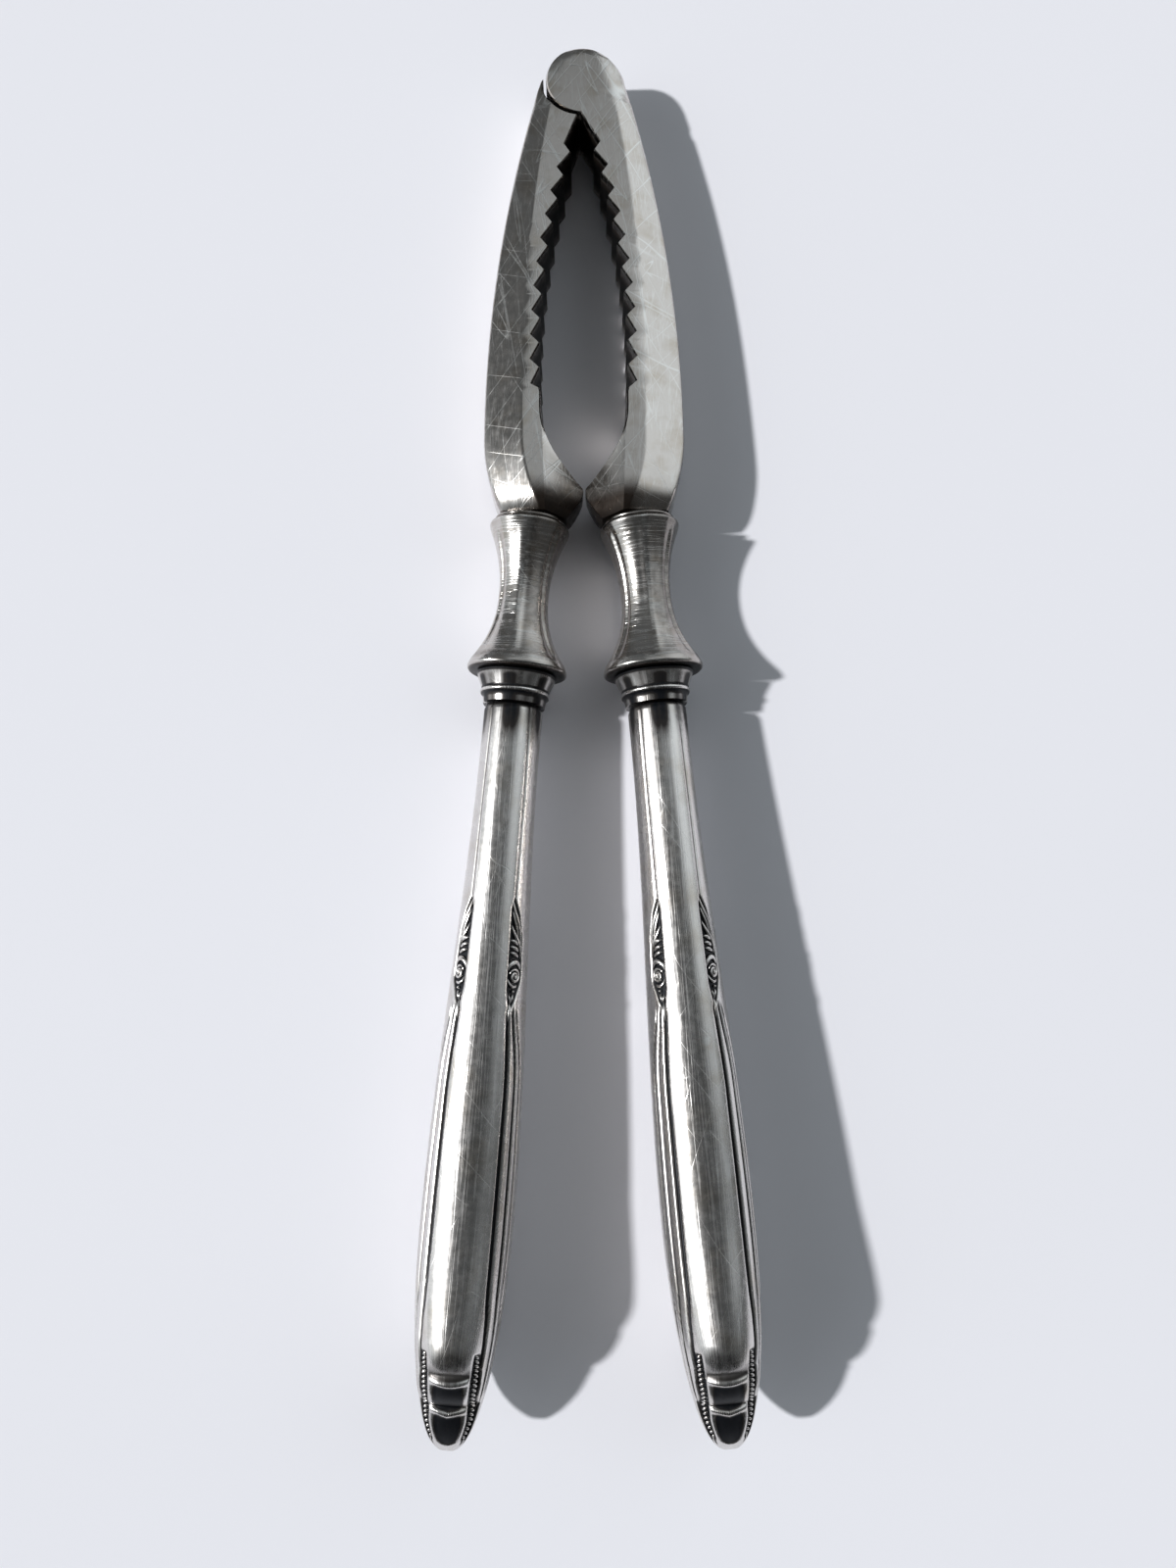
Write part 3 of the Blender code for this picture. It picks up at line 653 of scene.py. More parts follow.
def side_relief(along, out, side_length, depth):
    """(height, dirt) on the handle's side, out millimetres beyond the strip's edge."""
    share = out / max(0.5, side_length)
    height, dirt = 0.0, 0.0
    below = smoothstep(along, 64.2, 66.2) * (1 - smoothstep(along, 117.2, 119))
    if below > 0:
        open_up = 0.45 + 0.55 * smoothstep(along, 63, 74)
        shift = 0.12 * smoothstep(along, RECESS_START - 8, RECESS_START + 1)
        for centre, half_width, strength, blackness in GROOVES:
            deep, soot = dent(share - shift, centre * open_up, half_width * (0.6 + 0.4 * open_up))
            height -= depth * strength * deep * below
            dirt = max(dirt, soot * below * blackness)
    above = 1 - smoothstep(along, 50.5, 53)
    if above > 0:
        deep, soot = dent(out, 0.32, 0.3)
        height -= 0.1 * deep * above
        dirt = max(dirt, 0.35 * soot * above)
    if 50.5 < along < 65.6:
        width, middle = read_off(SCROLL_HALF_WIDTH, along), read_off(SCROLL_MIDDLE, along)
        if width > 0:
            sunk = 1 - smoothstep(abs(out - middle), width - 0.12, width + 0.12)
            height = height * (1 - sunk) - FIELD_DEPTH * sunk
            dirt = max(dirt, sunk)
    if RECESS_START < along < RECESS_END + 0.4:
        fade = smoothstep(along, RECESS_START, RECESS_START + 0.8)
        fade *= 1 - smoothstep(along, RECESS_END - 0.8, RECESS_END + 0.4)
        width = recess_width(along)
        sunk = (1 - smoothstep(abs(out - width - 0.08), width - 0.12, width + 0.1)) * fade
        height = height * (1 - sunk) - RECESS_DEPTH * sunk
        dirt = max(dirt, sunk)
    return height, dirt


def recess_width(along):
    """Half the width of the sunk channel that the rope runs in."""
    return read_off(RECESS_HALF_WIDTH, along)


def strip_relief(along, x, strip):
    """(height, darkness) on the front strip: plain, then painted shade where it folds down, and two dished
    panels under crests, painted dark as a reflection.
    """
    if along < 103:
        return 0.0, 0.0
    share = abs(x) / max(0.3, strip)
    height, dirt = 0.0, 0.0
    sag = 0.45 * (1 - share * share)
    # Painted shade across the strip where it turns down before the first crest.
    shade = smoothstep(along, SHADE_END - 1.9 + sag, SHADE_END + 0.6 + sag)
    shade *= 1 - smoothstep(along, CREST_1 - 0.75 + sag, CREST_1 - 0.45 + sag)
    dirt = max(dirt, 0.5 * shade)
    height += 0.17 * hump(along, CREST_1 - 0.25 + sag, 0.6)
    crest = CREST_2 + 0.55 * (1 - share)
    height += 0.2 * hump(along, crest, 0.6)
    panels = ((CREST_1 + sag, crest - 0.25, 0.3), (crest + 0.3, 118.5 - share**2, 0.28))
    for start, end, deep in panels:
        if start < along < end:
            run = sin(pi * (along - start) / (end - start)) ** 0.45
            dish = max(0, 1 - (share / 0.84) ** 6) * run
            height -= deep * dish
            # The dished panels are painted dark, a painted reflection of the dark room overhead.
            dirt = max(dirt, 0.9 * smoothstep(dish, 0.1, 0.6))
    return height, dirt


def handle_ring(along, depth):
    """One section of the handle, right round from the front centre, and its darkening: dirt in its grooves and
    painted shade at its end.
    """
    *_, lengths, start, strip = girdle(along)
    side_length = lengths[-1] - start
    quarter = []
    for share in spaced(0, 1, STRIP_COLUMNS)[:-1]:
        out = -start * (1 - share)
        x, _ = on_handle(along, out)
        quarter.append((out, *strip_relief(along, x, strip)))
    for share in spaced(0, 1, SIDE_COLUMNS):
        out = side_length * read_off(SIDE_SPREAD, share)
        quarter.append((out, *side_relief(along, out, side_length, depth)))
    lip = smoothstep(along, HANDLE_START, 26.0)
    front = []
    for out, height, dirt in quarter:
        x, z = on_handle(along, out, height - SKIN_ALLOWANCE - MOUTH_LIP * (1 - lip))
        stained = 0.9 * (1 - smoothstep(along, 25.8, 32)) * streaks(atan2(x, z))
        front.append((x, z, max(dirt, stained, 0.7 * (1 - lip))))
    half = front + [(x, -z, dirt) for x, z, dirt in reversed(front[:-1])]
    ring = half + [(-x, z, dirt) for x, z, dirt in reversed(half[1:-1])]
    return [(x, -along, z) for x, z, _ in ring], [dirt for _, _, dirt in ring]


# Where the handle's sections are, close together at the mouth, the scrolls and the end: (start, end, count).
HANDLE_RUNS = ((HANDLE_START, 26.1, 5), (26.1, 50.4, 34), (50.4, 66.6, 68), (66.6, 104, 48), (104, 118.6, 124))
HANDLE_TAIL = (118.6, 118.85, 119.1, 119.3, 119.45, 119.56, 119.64)
INNER_TAIL = (106.5, 108.4, 110, 111.5, 113, 115, 117)
INNER_END = 118.6


def handle_mesh(depth, wall):
    """The hollow handle: the worked outer skin and a plain inner one, joined round the mouth."""
    stations = [along for run in HANDLE_RUNS for along in spaced(*run)[:-1]]
    rings = [handle_ring(along, depth) for along in (*stations, *HANDLE_TAIL)]
    outside = [ring for ring, _ in rings] + [[(0, -TIP_END, 0)] * len(rings[0][0])]
    patina_and_shade = [dirt for _, dirt in rings] + [[0.0] * len(rings[0][0])]
    bm = bmesh.new()
    skin(bm, outside, patina_and_shade, cap=False)
    inside = []
    turns = spaced(0, 2 * pi, 48)[:-1]
    for along in (*spaced(HANDLE_START, SHOULDER, 20), *INNER_TAIL):
        half_width, half_depth = handle_half_width(along) - wall, handle_half_depth(along) - wall
        inside.append(oval_ring(half_width, half_depth, HANDLE_ROUNDNESS, turns, along))
    inside.append([(0, -INNER_END, 0)] * len(turns))
    skin(bm, inside, [[1.0] * len(turns)] * len(inside), cap=False)
    rims = [edge for edge in bm.edges if edge.is_boundary]
    bmesh.ops.bridge_loops(bm, edges=rims)
    return bm


# ---- Chased ornament ----

STRAND_SIDES = 8
STROKE_END = 0.05


def strand(bm, path, place, sunk=0.1):
    """A raised stroke along a path of (out, along, half width, height), standing on the sunk field."""
    sections, patina_and_shade = [], []
    for i, (out, along, half_width, height) in enumerate(path):
        before, after = path[max(0, i - 1)], path[min(len(path) - 1, i + 1)]
        du, dv = after[0] - before[0], after[1] - before[1]
        size = max(1e-6, hypot(du, dv))
        ring, dirt = [], []
        for k in range(STRAND_SIDES):
            turn = 2 * pi * k / STRAND_SIDES
            across, up = cos(turn) * half_width, sin(turn)
            lift = -FIELD_DEPTH + (height * up if up > 0 else sunk * up)
            ring.append(place(out + dv / size * across, along - du / size * across, lift))
            dirt.append(0.0 if up > 0.3 else 0.9)
        sections.append(ring)
        patina_and_shade.append(dirt)
    skin(bm, sections, patina_and_shade)


def stroke(points, width, height, steps=12):
    """A path through points on an even curve, swelling to its width in the middle."""
    path = []
    for share in spaced(0, 1, steps):
        left = list(points)
        while len(left) > 1:
            left = [tuple(a + (b - a) * share for a, b in zip(p, q)) for p, q in zip(left, left[1:])]
        swell = sin(pi * share) ** 0.6
        full = STROKE_END + (width - STROKE_END) * swell
        path.append((*left[0], max(full, 0.02), height * max(0.15, swell)))
    return path


def volute(centre, outer, inner, turns, width, start_angle):
    """A spiral path that thins towards its middle."""
    path = []
    for share in spaced(0, 1, 34):
        radius = outer + (inner - outer) * share**0.8
        angle = radians(start_angle) + 2 * pi * turns * share
        swell = min(1, 6 * share + 0.1) * (1 - 0.45 * share)
        out, along = centre[0] + radius * cos(angle), centre[1] + radius * sin(angle)
        path.append((out, along, width * swell, 0.36))
    return path


def scroll_strokes():
    """An acanthus spray over a volute, with a bud and a drop under it, as (out, along) strokes."""
    sprays = [
        (((2.05, 57.2), (1.9, 54.6), (0.35, 53.4), (0.1, 51.1)), 0.30, 0.42),
        (((1.5, 56.6), (1.2, 54.9), (0.5, 54.2), (0.2, 52.6)), 0.16, 0.34),
        (((2.15, 58.6), (2.1, 56.8), (0.7, 56.2), (0.15, 54.4)), 0.30, 0.42),
    ]
    for i, along in enumerate((56.8, 57.6, 58.35)):
        points = ((0.05 * i, along - 0.45), (0.8, along - 0.5), (1.55 + 0.1 * i, along + 0.15))
        sprays.append((points, 0.26, 0.4))
    sprays += [
        (((-0.2, 60.4), (-0.1, 58.8), (1.7, 58.5), (2.3, 60.1)), 0.36, 0.48),
        (((1.08, 60.62), (1.08, 61.08)), 0.2, 0.42, 6),
        (((0.0, 61.2), (0.3, 62.4), (1.2, 62.3), (1.75, 61.9)), 0.22, 0.36),
        (((0.95, 62.55), (0.85, 62.95)), 0.22, 0.4, 6),
        (((1.0, 63.1), (0.75, 63.6), (0.55, 64.2)), 0.2, 0.36, 8),
        (((0.3, 63.2), (0.4, 63.7), (0.5, 64.3)), 0.14, 0.3, 8),
        (((0.5, 64.3), (0.45, 65.2), (0.4, 66.6)), 0.24, 0.4, 10),
    ]
    return [stroke(*spray) for spray in sprays] + [volute((1.08, 60.85), 1.02, 0.2, 1.7, 0.25, 200)]


def rope_strokes(pitch):
    """Slanting twists of a rope that runs along both lobes of the handle's end."""
    strokes = []
    along = RECESS_START + 0.7
    while along < RECESS_END - 0.3:
        width = recess_width(along)
        middle = 1.3 * width
        reach = 0.45 * width
        path = []
        for share, swell in ((0, 0.35), (0.25, 0.9), (0.5, 1), (0.75, 0.9), (1, 0.35)):
            place = (middle + reach * (2 * share - 1), along + 0.25 * (2 * share - 1))
            path.append((*place, 0.23 * swell, 0.45 * swell))
        strokes.append(path)
        along += pitch
    return strokes


def ornament_mesh(strokes, extra_sunk):
    """The strokes, on the front and the back of both edges of the strip."""
    bm = bmesh.new()
    for across in (1, -1):
        for face in (1, -1):

            def place(out, along, lift):
                x, z = on_handle(along, out, lift - extra_sunk)
                return across * x, -along, face * z

            for path in strokes:
                strand(bm, path, place)
    return bm


# ---- Finishes ----


def linear(code):
    """An sRGB hex colour as linear red, green, blue and alpha."""
    values = [int(code[i : i + 2], 16) / 255 for i in (0, 2, 4)]
    return (*(v / 12.92 if v <= 0.04045 else ((v + 0.055) / 1.055) ** 2.4 for v in values), 1)


def add(tree, kind, links=None, **settings):
    """Adds a shader node with its settings. links gives each socket its value, or what feeds it."""
    node = tree.nodes.new("ShaderNode" + kind)
    for name, value in settings.items():
        setattr(node, name, value)
    for socket, value in (links or {}).items():
        if isinstance(value, bpy.types.Node):
            value = value.outputs[0]
        if isinstance(value, bpy.types.NodeSocket):
            tree.links.new(value, node.inputs[socket])
        else:
            node.inputs[socket].default_value = value
    return node


def material(name):
    """An empty material, its tree and the object coordinates in it."""
    made = bpy.data.materials.new(name)
    made.use_nodes = True
    made.node_tree.nodes.clear()
    return made, made.node_tree, add(made.node_tree, "TexCoord").outputs["Object"]


def closed(made, inputs):
    """The material, with one principled shader that these inputs feed."""
    shader = add(made.node_tree, "BsdfPrincipled", inputs)
    add(made.node_tree, "OutputMaterial", {"Surface": shader})
    return made


def hairlines(tree, coordinates, turn, width, length, share, strength):
    """As much as strength on thin broken lines, width and length in metres apart, and 0 elsewhere."""
    mapped = add(tree, "Mapping", {
        "Vector": coordinates, "Rotation": (0, 0, radians(turn)), "Scale": (width, length, length),
    }, vector_type="TEXTURE")
    noise = add(tree, "TexNoise", {"Vector": mapped, "Scale": 1.0, "Detail": 0.0})
    parts = add(tree, "SeparateColor", {"Color": noise.outputs["Color"]})
    middle = add(tree, "Math", {0: parts, 1: 0.5}, operation="SUBTRACT")
    away = add(tree, "Math", {0: middle}, operation="ABSOLUTE")
    line = add(tree, "MapRange", {
        "Value": away, "From Min": 0.0, "From Max": share, "To Min": strength, "To Max": 0.0,
    }, interpolation_type="SMOOTHSTEP")
    stretch = add(tree, "MapRange", {"Value": parts.outputs[1], "From Min": 0.47, "From Max": 0.55})
    return add(tree, "Math", {0: line, 1: stretch}, operation="MULTIPLY")


def silver(name, look, fine_lines, blotch_size):
    """Silver with its scratches, its stains, black film in its recesses, and the painted shade and dark
    reflections that the same darkening carries.
    """
    made, tree, place = material(name)
    sources = {"object": place, "wear": add(tree, "UVMap", uv_map="wear")}
    patina_and_shade = add(tree, "Attribute", attribute_name="patina_and_shade").outputs["Fac"]
    grit = add(tree, "TexNoise", {"Vector": place, "Scale": 1 / (GRIT_SIZE * MM), "Detail": 2.0})
    stain = add(tree, "TexNoise", {"Vector": place, "Scale": 1 / (blotch_size * MM), "Detail": 4.0})
    stained = add(tree, "MapRange", {"Value": stain, "From Min": 0.5, "From Max": 0.72})
    uneven = add(tree, "Math", {0: grit, 1: 0.5}, operation="SUBTRACT")
    edged = add(tree, "Math", {0: uneven, 1: 0.5, 2: patina_and_shade}, operation="MULTIPLY_ADD")
    # The darkening, black film and painted shade alike, turns the silver brown, then black.
    patina_and_shade_share = add(tree, "MapRange", {"Value": edged, "From Min": 0.2, "From Max": 0.85})
    warm = add(tree, "MapRange", {"Value": patina_and_shade, "From Min": 0.05, "From Max": 0.5})
    height = add(tree, "Math", {0: grit, 1: look["grit"]}, operation="MULTIPLY")
    marks = 0.0
    for turn, width, length, share, strength, source in fine_lines:
        line = hairlines(tree, sources[source], turn, width * MM, length * MM, share, strength)
        height = add(tree, "Math", {0: height, 1: line}, operation="SUBTRACT")
        marks = add(tree, "Math", {0: line, 1: marks}, operation="MAXIMUM")
    # Dried drops of water leave a few pale dull discs, about a millimetre across.
    cell = add(tree, "TexVoronoi", {"Vector": place, "Scale": 1 / (DROP_SPACING * MM)})
    drop = add(tree, "MapRange", {
        "Value": cell, "From Min": 0.035, "From Max": 0.06, "To Min": look["spots"], "To Max": 0.0,
    })
    faint = add(tree, "Math", {0: marks, 1: look["mark_contrast"], 2: drop},
                operation="MULTIPLY_ADD", use_clamp=True)
    colour = linear(look["silver"])
    for amount, tone in ((stained, "stain"), (faint, "mark"), (warm, "tarnish_and_shade"), (patina_and_shade_share, "patina_and_shade")):
        mixed = add(tree, "Mix", {0: amount, 6: colour, 7: linear(look[tone])}, data_type="RGBA")
        colour = mixed.outputs[2]
    rough = add(tree, "MapRange", {
        "Value": grit, "From Min": 0.3, "From Max": 0.7,
        "To Min": look["roughness"] - 0.03, "To Max": look["roughness"] + 0.04,
    })
    scored = add(tree, "Math", {0: marks, 1: 0.1, 2: rough}, operation="MULTIPLY_ADD")
    rougher = add(tree, "Mix", {0: patina_and_shade_share, 2: scored, 3: 0.45}, data_type="FLOAT")
    metal = add(tree, "MapRange", {"Value": patina_and_shade_share, "To Min": 1.0, "To Max": 0.5})
    bump = add(tree, "Bump", {"Height": height, "Distance": look["scratch_depth"] * MM, "Strength": 1.0})
    return closed(made, {"Base Color": colour, "Roughness": rougher, "Metallic": metal, "Normal": bump})


GRIT_SIZE = 0.9
DROP_SPACING = 13
# Rows of (turn in degrees, millimetres across and along a line's cell, line's share, strength, coordinates).
# Real hairlines are about 0.01 mm wide. They are drawn 0.05 to 0.1 mm wide, as finer ones would be lost.
SATIN_LINES = (
    (28, 1.6, 26.0, 0.022, 1.0, "object"),
    (-38, 1.5, 24.0, 0.022, 1.0, "object"),
    (70, 1.9, 26.0, 0.018, 0.8, "object"),
    (8, 1.2, 24.0, 0.024, 0.8, "object"),
    (-12, 0.45, 9.0, 0.05, 0.45, "object"),
    (3, 0.4, 10.0, 0.06, 0.45, "object"),
)
TURNED_LINES = (
    (90, 0.22, 6.0, 0.12, 0.7, "wear"),
    (86, 0.7, 16.0, 0.05, 0.9, "wear"),
    (94, 0.5, 9.0, 0.05, 0.7, "wear"),
    (35, 2.4, 24.0, 0.012, 0.7, "object"),
)
BRIGHT_LINES = (
    (0, 0.3, 14.0, 0.11, 0.6, "wear"),
    (1, 0.6, 30.0, 0.06, 0.8, "wear"),
    (-24, 2.4, 22.0, 0.010, 0.7, "object"),
    (35, 2.6, 20.0, 0.009, 0.7, "object"),
)
# The two darkest colours also paint the shade and dark reflections that the points' darkening carries.
SATIN_LOOK = {
    "silver": "CBC5C0", "stain": "BBB2A8", "tarnish_and_shade": "4A4039", "patina_and_shade": "060505", "mark": "F2F4F3",
    "mark_contrast": 0.5, "roughness": 0.16, "grit": 0.35, "scratch_depth": 0.006, "spots": 0.0,
}
TURNED_LOOK = {**SATIN_LOOK, "scratch_depth": 0.009, "roughness": 0.17}
POLISHED_LOOK = {
    "silver": "DDD9D6", "stain": "CCC5BD", "tarnish_and_shade": "4A4542", "patina_and_shade": "05080F", "mark": "F4F5F5",
    "mark_contrast": 0.4, "roughness": 0.25, "grit": 0.28, "scratch_depth": 0.007, "spots": 0.5,
}


def worn_satin_silver():
    """Cast silver dulled by handling: thin pale scratches cross a soft grey shine."""
    return silver("Worn satin silver", SATIN_LOOK, SATIN_LINES, 3)


def turned_satin_silver():
    """Silver worn round and round: fine crosswise lines draw each highlight out along the waist."""
    return silver("Turned satin silver", TURNED_LOOK, TURNED_LINES, 2)


def hand_polished_silver():
    """Stamped silver polished by hand: lengthwise hairlines soften the shine, and the hollows are blue-black."""
    return silver("Hand-polished silver", POLISHED_LOOK, BRIGHT_LINES, 4)


def turned_steel():
    """The pin's turned steel rod: fine rings round it and an even grey shine."""
    made, tree, place = material("Turned steel")
    mapped = add(tree, "Mapping", {"Vector": place, "Scale": (20, 20, 1 / (0.15 * MM))})
    rings = add(tree, "TexNoise", {"Vector": mapped, "Scale": 1.0, "Detail": 2.0})
    tones = {0: rings, 6: linear("8E8F92"), 7: linear("A9AAAC")}
    colour = add(tree, "Mix", tones, data_type="RGBA")
    bump = add(tree, "Bump", {"Height": rings, "Distance": 0.004 * MM})
    return closed(made, {"Base Color": colour.outputs[2], "Metallic": 1.0, "Roughness": 0.38, "Normal": bump})


def cutlers_cement():
    """Resin and brick-dust filling: a dull dark brown with a coarse grain."""
    made, tree, place = material("Cutler's cement")
    grain = add(tree, "TexNoise", {"Vector": place, "Scale": 1 / (0.6 * MM), "Detail": 5.0})
    tones = {0: grain, 6: linear("3A2C22"), 7: linear("6B5442")}
    colour = add(tree, "Mix", tones, data_type="RGBA")
    bump = add(tree, "Bump", {"Height": grain, "Distance": 0.15 * MM})
    return closed(made, {"Base Color": colour.outputs[2], "Roughness": 0.88, "Normal": bump})


def matt_paper(code):
    """Smooth white paper: an even pale ground with the faintest cloudiness."""
    made, tree, place = material("Matt white paper")
    cloud = add(tree, "TexNoise", {"Vector": place, "Scale": 1 / (60 * MM), "Detail": 2.0})
    shade = [value * 0.985 for value in linear(code)[:3]] + [1]
    colour = add(tree, "Mix", {0: cloud, 6: linear(code), 7: shade}, data_type="RGBA")
    return closed(made, {"Base Color": colour.outputs[2], "Roughness": 0.8, "Specular IOR Level": 0.2})


def shared(make):
    """The material, made the first time that it is asked for."""
    key = make.__name__
    if key not in SHARED:
        SHARED[key] = make()
    return SHARED[key]


SHARED = {}


# ---- Stage ----

CAMERA_PLACE = (0.244, -28.90, 165.35)
CAMERA_PITCH = radians(6.44)
CAMERA_ROLL = radians(-0.27)
SUN_FROM = (-0.766, 0.0, 0.643)
SUN_ANGLE = radians(2.5)
SENSOR = 36
NEAREST = 0.01
FLOOR_REACH = 2.0
ROOM_COLOUR = "EFF7FB"
DARKEST = 0.02
# The studio as soft patches of light and dark: (towards, cosine where it starts, cosine where full, change).
STUDIO = (
    ((0.68, 0.55, 0.48), 0.76, 0.98, 0.90),
    ((0.05, 0.50, 0.86), 0.945, 0.99, 0.36),
    ((-0.97, -0.1, 0.25), 0.76, 0.98, 0.60),
    ((-0.76, -0.14, 0.63), 0.925, 0.995, 0.40),
    ((-0.70, 0.12, 0.69), 0.94, 0.995, 0.42),
    ((0.05, 0.0, 1.0), 0.84, 0.96, -0.06),
    ((0.0, -0.92, 0.40), 0.60, 0.95, -0.11),
)


def studio_world(base):
    """A grey room with soft lights on the right, the left and round the sun, and dark flags overhead."""
    world = bpy.data.worlds.new("Soft studio")
    world.use_nodes = True
    tree = world.node_tree
    tree.nodes.clear()
    towards = add(tree, "TexCoord").outputs["Generated"]
    total = base
    for direction, start, full, change in STUDIO:
        unit = Vector(direction).normalized()
        facing = add(tree, "VectorMath", {0: towards, 1: unit}, operation="DOT_PRODUCT")
        patch = add(tree, "MapRange", {
            "Value": facing.outputs["Value"], "From Min": start, "From Max": full,
        }, interpolation_type="SMOOTHSTEP")
        total = add(tree, "Math", {0: patch, 1: change, 2: total}, operation="MULTIPLY_ADD")
    kept = add(tree, "Math", {0: total, 1: DARKEST}, operation="MAXIMUM")
    light = add(tree, "Background", {"Color": linear(ROOM_COLOUR), "Strength": kept})
    add(tree, "OutputWorld", {"Surface": light})
    return world


# ---- Add-on ----


class JawSettings(bpy.types.PropertyGroup):
    """Sizes of the toothed jaws."""

    tooth_height: FloatProperty(
        name="Tooth height", description="How far a tooth stands into the opening",
        default=0.0012, min=0.0004, max=0.0018, unit="LENGTH",
    )


class HandleSettings(bpy.types.PropertyGroup):
    """Sizes of the hollow handles."""

    thread_depth: FloatProperty(
        name="Thread depth", description="How deep the grooves beside the threads are cut",
        default=0.0004, min=0.0001, max=0.0005, unit="LENGTH",
    )
    wall: FloatProperty(
        name="Wall", description="Thickness of the stamped silver",
        default=0.0006, min=0.0005, max=0.001, unit="LENGTH",
    )
    rope_pitch: FloatProperty(
        name="Rope pitch", description="Distance from one twist of the rope to the next",
        default=0.00062, min=0.0004, max=0.001, unit="LENGTH",
    )


class StageSettings(bpy.types.PropertyGroup):
    """Light, floor and camera."""

    floor_colour: StringProperty(
        name="Floor colour", description="sRGB hex colour of the paper", default="E9E9EF",
    )
    sun_strength: FloatProperty(
        name="Sun strength", description="Strength of the key light", default=3.45, min=0, max=20,
    )
    room_strength: FloatProperty(
        name="Room strength", description="Strength of the grey room", default=0.125, min=0, max=2,
    )
    focal_length: FloatProperty(
        name="Focal length", description="The camera's focal length in millimetres",
        default=27.225, min=10, max=200,
    )


WORDS = (("left", -1), ("right", 1))


class NUTCRACKER_OT_jaws(bpy.types.Operator):
    """Add both toothed jaws, with the round cheek, the socket and the tongue of the hinge"""

    bl_idname = "nutcracker.jaws"
    bl_label = "Jaws"

    def execute(self, context):
        height = context.scene.nutcracker_jaws.tooth_height / MM
        for word, side in WORDS:
            finished(
                word, "toothed_jaw", jaw_mesh(word, height), TOOL @ mirror(side), worn_satin_silver,
                ["jaw"], sharp=30, weighted=True,
            )
        return {"FINISHED"}


class NUTCRACKER_OT_ferrules(bpy.types.Operator):
    """Add the waisted ferrules under the jaws"""

    bl_idname = "nutcracker.ferrules"
    bl_label = "Ferrules"

    def execute(self, context):
        for word, side in WORDS:
            finished(
                word, "waisted_ferrule", ferrule_mesh(side), arm_frame(side), turned_satin_silver,
                ["ferrule"], sharp=50,
            )
        return {"FINISHED"}


class NUTCRACKER_OT_collars(bpy.types.Operator):
    """Add the beaded rings at the handles' mouths"""

    bl_idname = "nutcracker.collars"
    bl_label = "Collars"

    def execute(self, context):
        for word, side in WORDS:
            finished(
                word, "beaded_collar", collar_mesh(), arm_frame(side), hand_polished_silver,
                ["collar"], sharp=50,
            )
        return {"FINISHED"}


class NUTCRACKER_OT_handles(bpy.types.Operator):
    """Add the hollow handles, with their threads and their lobed ends"""

    bl_idname = "nutcracker.handles"
    bl_label = "Handles"

    def execute(self, context):
        sizes = context.scene.nutcracker_handles
        for word, side in WORDS:
            finished(
                word, "hollow_handle", handle_mesh(sizes.thread_depth / MM, sizes.wall / MM), arm_frame(side),
                hand_polished_silver, ["handle_outer_half", "handle_inner_half"],
            )
        return {"FINISHED"}


class NUTCRACKER_OT_ornament(bpy.types.Operator):
    """Add the scrolls and the rope that are chased on the handles"""

    bl_idname = "nutcracker.ornament"
    bl_label = "Ornament"

    def execute(self, context):
        pitch = context.scene.nutcracker_handles.rope_pitch / MM
        for word, side in WORDS:
            for what, strokes, sunk in (
                ("chased_scrolls", scroll_strokes(), 0.0),
                ("chased_rope", rope_strokes(pitch), ROPE_SUNK),
            ):
                finished(
                    word, what, ornament_mesh(strokes, sunk), arm_frame(side), hand_polished_silver,
                    [],
                )
        return {"FINISHED"}


class NUTCRACKER_OT_hidden_parts(bpy.types.Operator):
    """Give the pin and the cement inside the handles their materials"""

    bl_idname = "nutcracker.hidden_parts"
    bl_label = "Pin and cement"

    def execute(self, context):
        finishes = {"pivot_pin": turned_steel}
        for word, _ in WORDS:
            finishes[word + "_handle_core"] = cutlers_cement
        for node, finish in finishes.items():
            for slot in frame["nodes"][node].material_slots:
                slot.material = shared(finish)
        return {"FINISHED"}


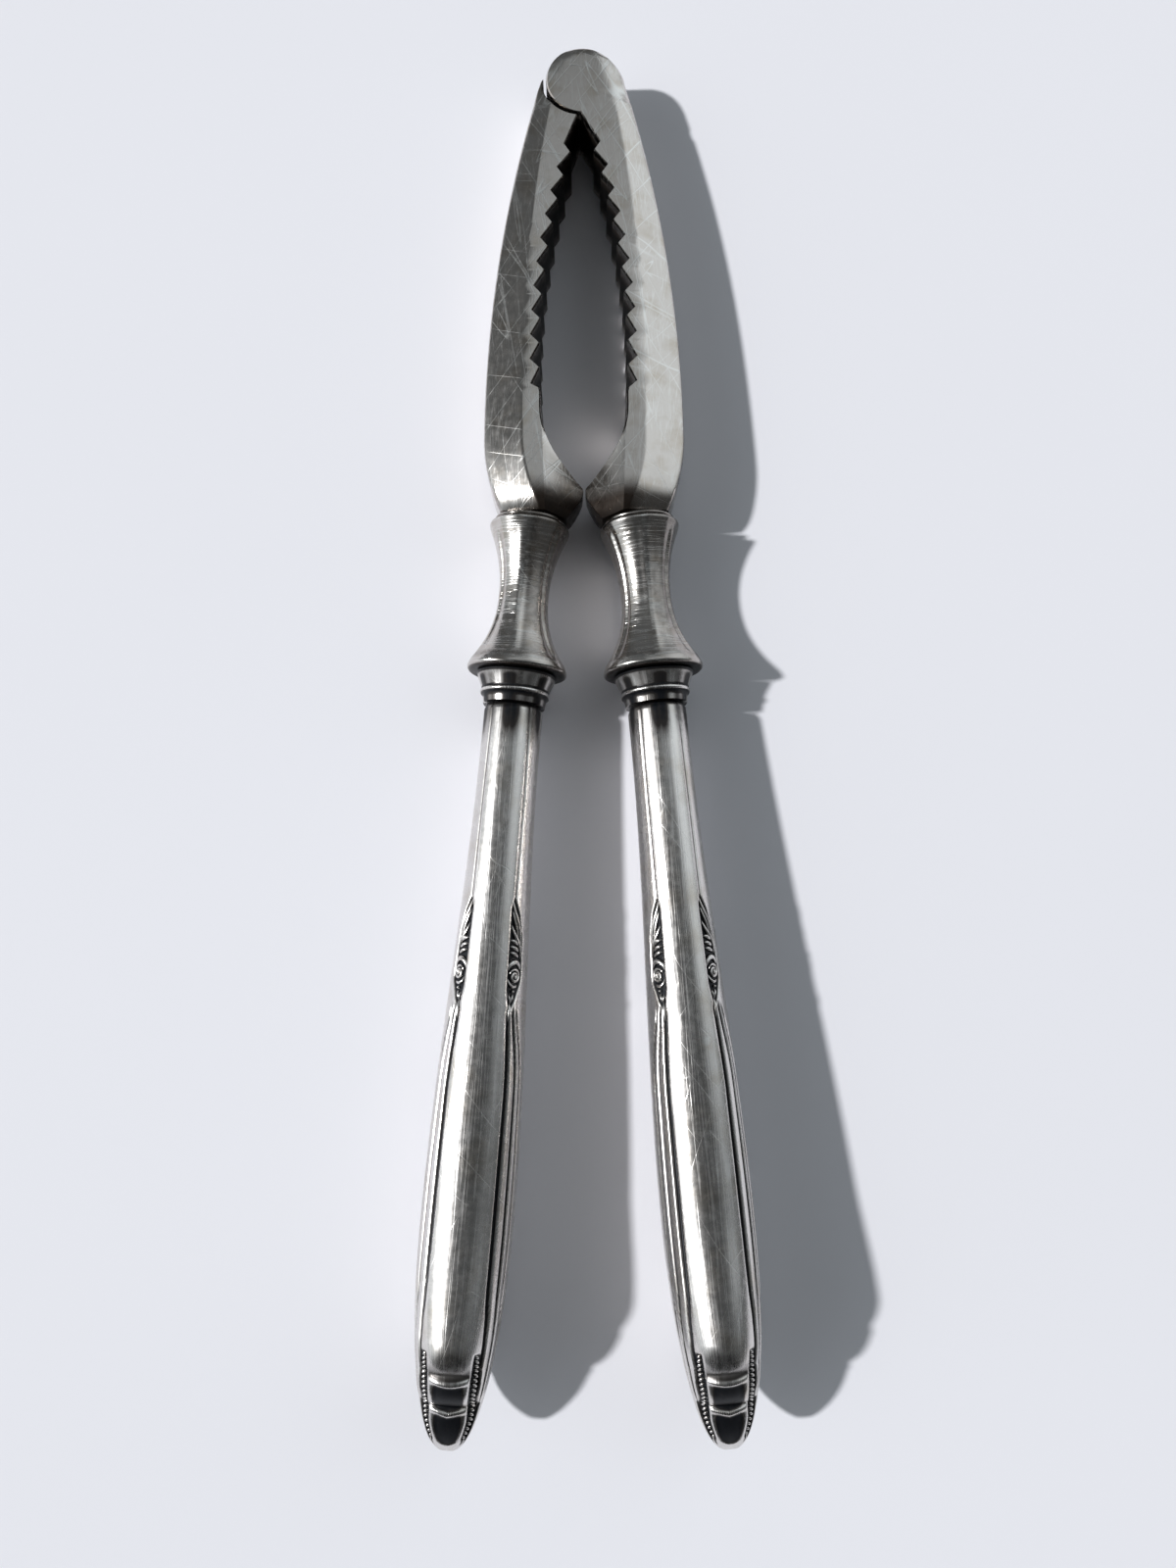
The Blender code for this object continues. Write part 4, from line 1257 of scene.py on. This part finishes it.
class NUTCRACKER_OT_stage(bpy.types.Operator):
    """Add the paper floor, the sun, the grey room and the camera"""

    bl_idname = "nutcracker.stage"
    bl_label = "Stage"

    def execute(self, context):
        scene = context.scene
        settings = scene.nutcracker_stage
        bm = bmesh.new()
        bmesh.ops.create_grid(bm, x_segments=1, y_segments=1, size=FLOOR_REACH)
        mesh = bpy.data.meshes.new("paper_floor")
        bm.to_mesh(mesh)
        bm.free()
        mesh.materials.append(matt_paper(settings.floor_colour))
        floor = bpy.data.objects.new("paper_floor", mesh)
        scene.collection.objects.link(floor)
        light = bpy.data.lights.new("key_sun", "SUN")
        light.energy = settings.sun_strength
        light.angle = SUN_ANGLE
        sun = bpy.data.objects.new("key_sun", light)
        sun.rotation_euler = Vector(SUN_FROM).to_track_quat("Z", "Y").to_euler()
        scene.collection.objects.link(sun)
        scene.world = studio_world(settings.room_strength)
        scene.view_settings.view_transform = "Standard"
        lens = bpy.data.cameras.new("camera")
        lens.lens = settings.focal_length
        lens.sensor_fit = "VERTICAL"
        lens.sensor_width = lens.sensor_height = SENSOR
        lens.clip_start = NEAREST
        camera = bpy.data.objects.new("camera", lens)
        camera.location = Vector(CAMERA_PLACE) * MM
        camera.rotation_euler = (CAMERA_PITCH, 0, CAMERA_ROLL)
        scene.collection.objects.link(camera)
        scene.camera = camera
        return {"FINISHED"}


OPERATORS = (
    NUTCRACKER_OT_jaws,
    NUTCRACKER_OT_ferrules,
    NUTCRACKER_OT_collars,
    NUTCRACKER_OT_handles,
    NUTCRACKER_OT_ornament,
    NUTCRACKER_OT_hidden_parts,
    NUTCRACKER_OT_stage,
)


class NUTCRACKER_PT_panel(bpy.types.Panel):
    """Every piece of the nutcracker, and its stage."""

    bl_idname = "NUTCRACKER_PT_panel"
    bl_label = "Silver nutcracker"
    bl_space_type = "VIEW_3D"
    bl_region_type = "UI"
    bl_category = "Nutcracker"

    def draw(self, context):
        scene = context.scene
        for operator in OPERATORS:
            self.layout.operator(operator.bl_idname)
        for settings in (scene.nutcracker_jaws, scene.nutcracker_handles, scene.nutcracker_stage):
            for name in settings.bl_rna.properties.keys():
                if name not in ("rna_type", "name"):
                    self.layout.prop(settings, name)


SETTINGS = {
    "nutcracker_jaws": JawSettings,
    "nutcracker_handles": HandleSettings,
    "nutcracker_stage": StageSettings,
}


def register():
    for kind in (*SETTINGS.values(), *OPERATORS, NUTCRACKER_PT_panel):
        bpy.utils.register_class(kind)
    for name, kind in SETTINGS.items():
        setattr(bpy.types.Scene, name, PointerProperty(type=kind))


def unregister():
    for name in SETTINGS:
        delattr(bpy.types.Scene, name)
    for kind in (NUTCRACKER_PT_panel, *reversed(OPERATORS), *SETTINGS.values()):
        bpy.utils.unregister_class(kind)


def main():
    register()
    for operator in OPERATORS:
        group, name = operator.bl_idname.split(".")
        getattr(getattr(bpy.ops, group), name)()


if __name__ == "__main__":
    main()
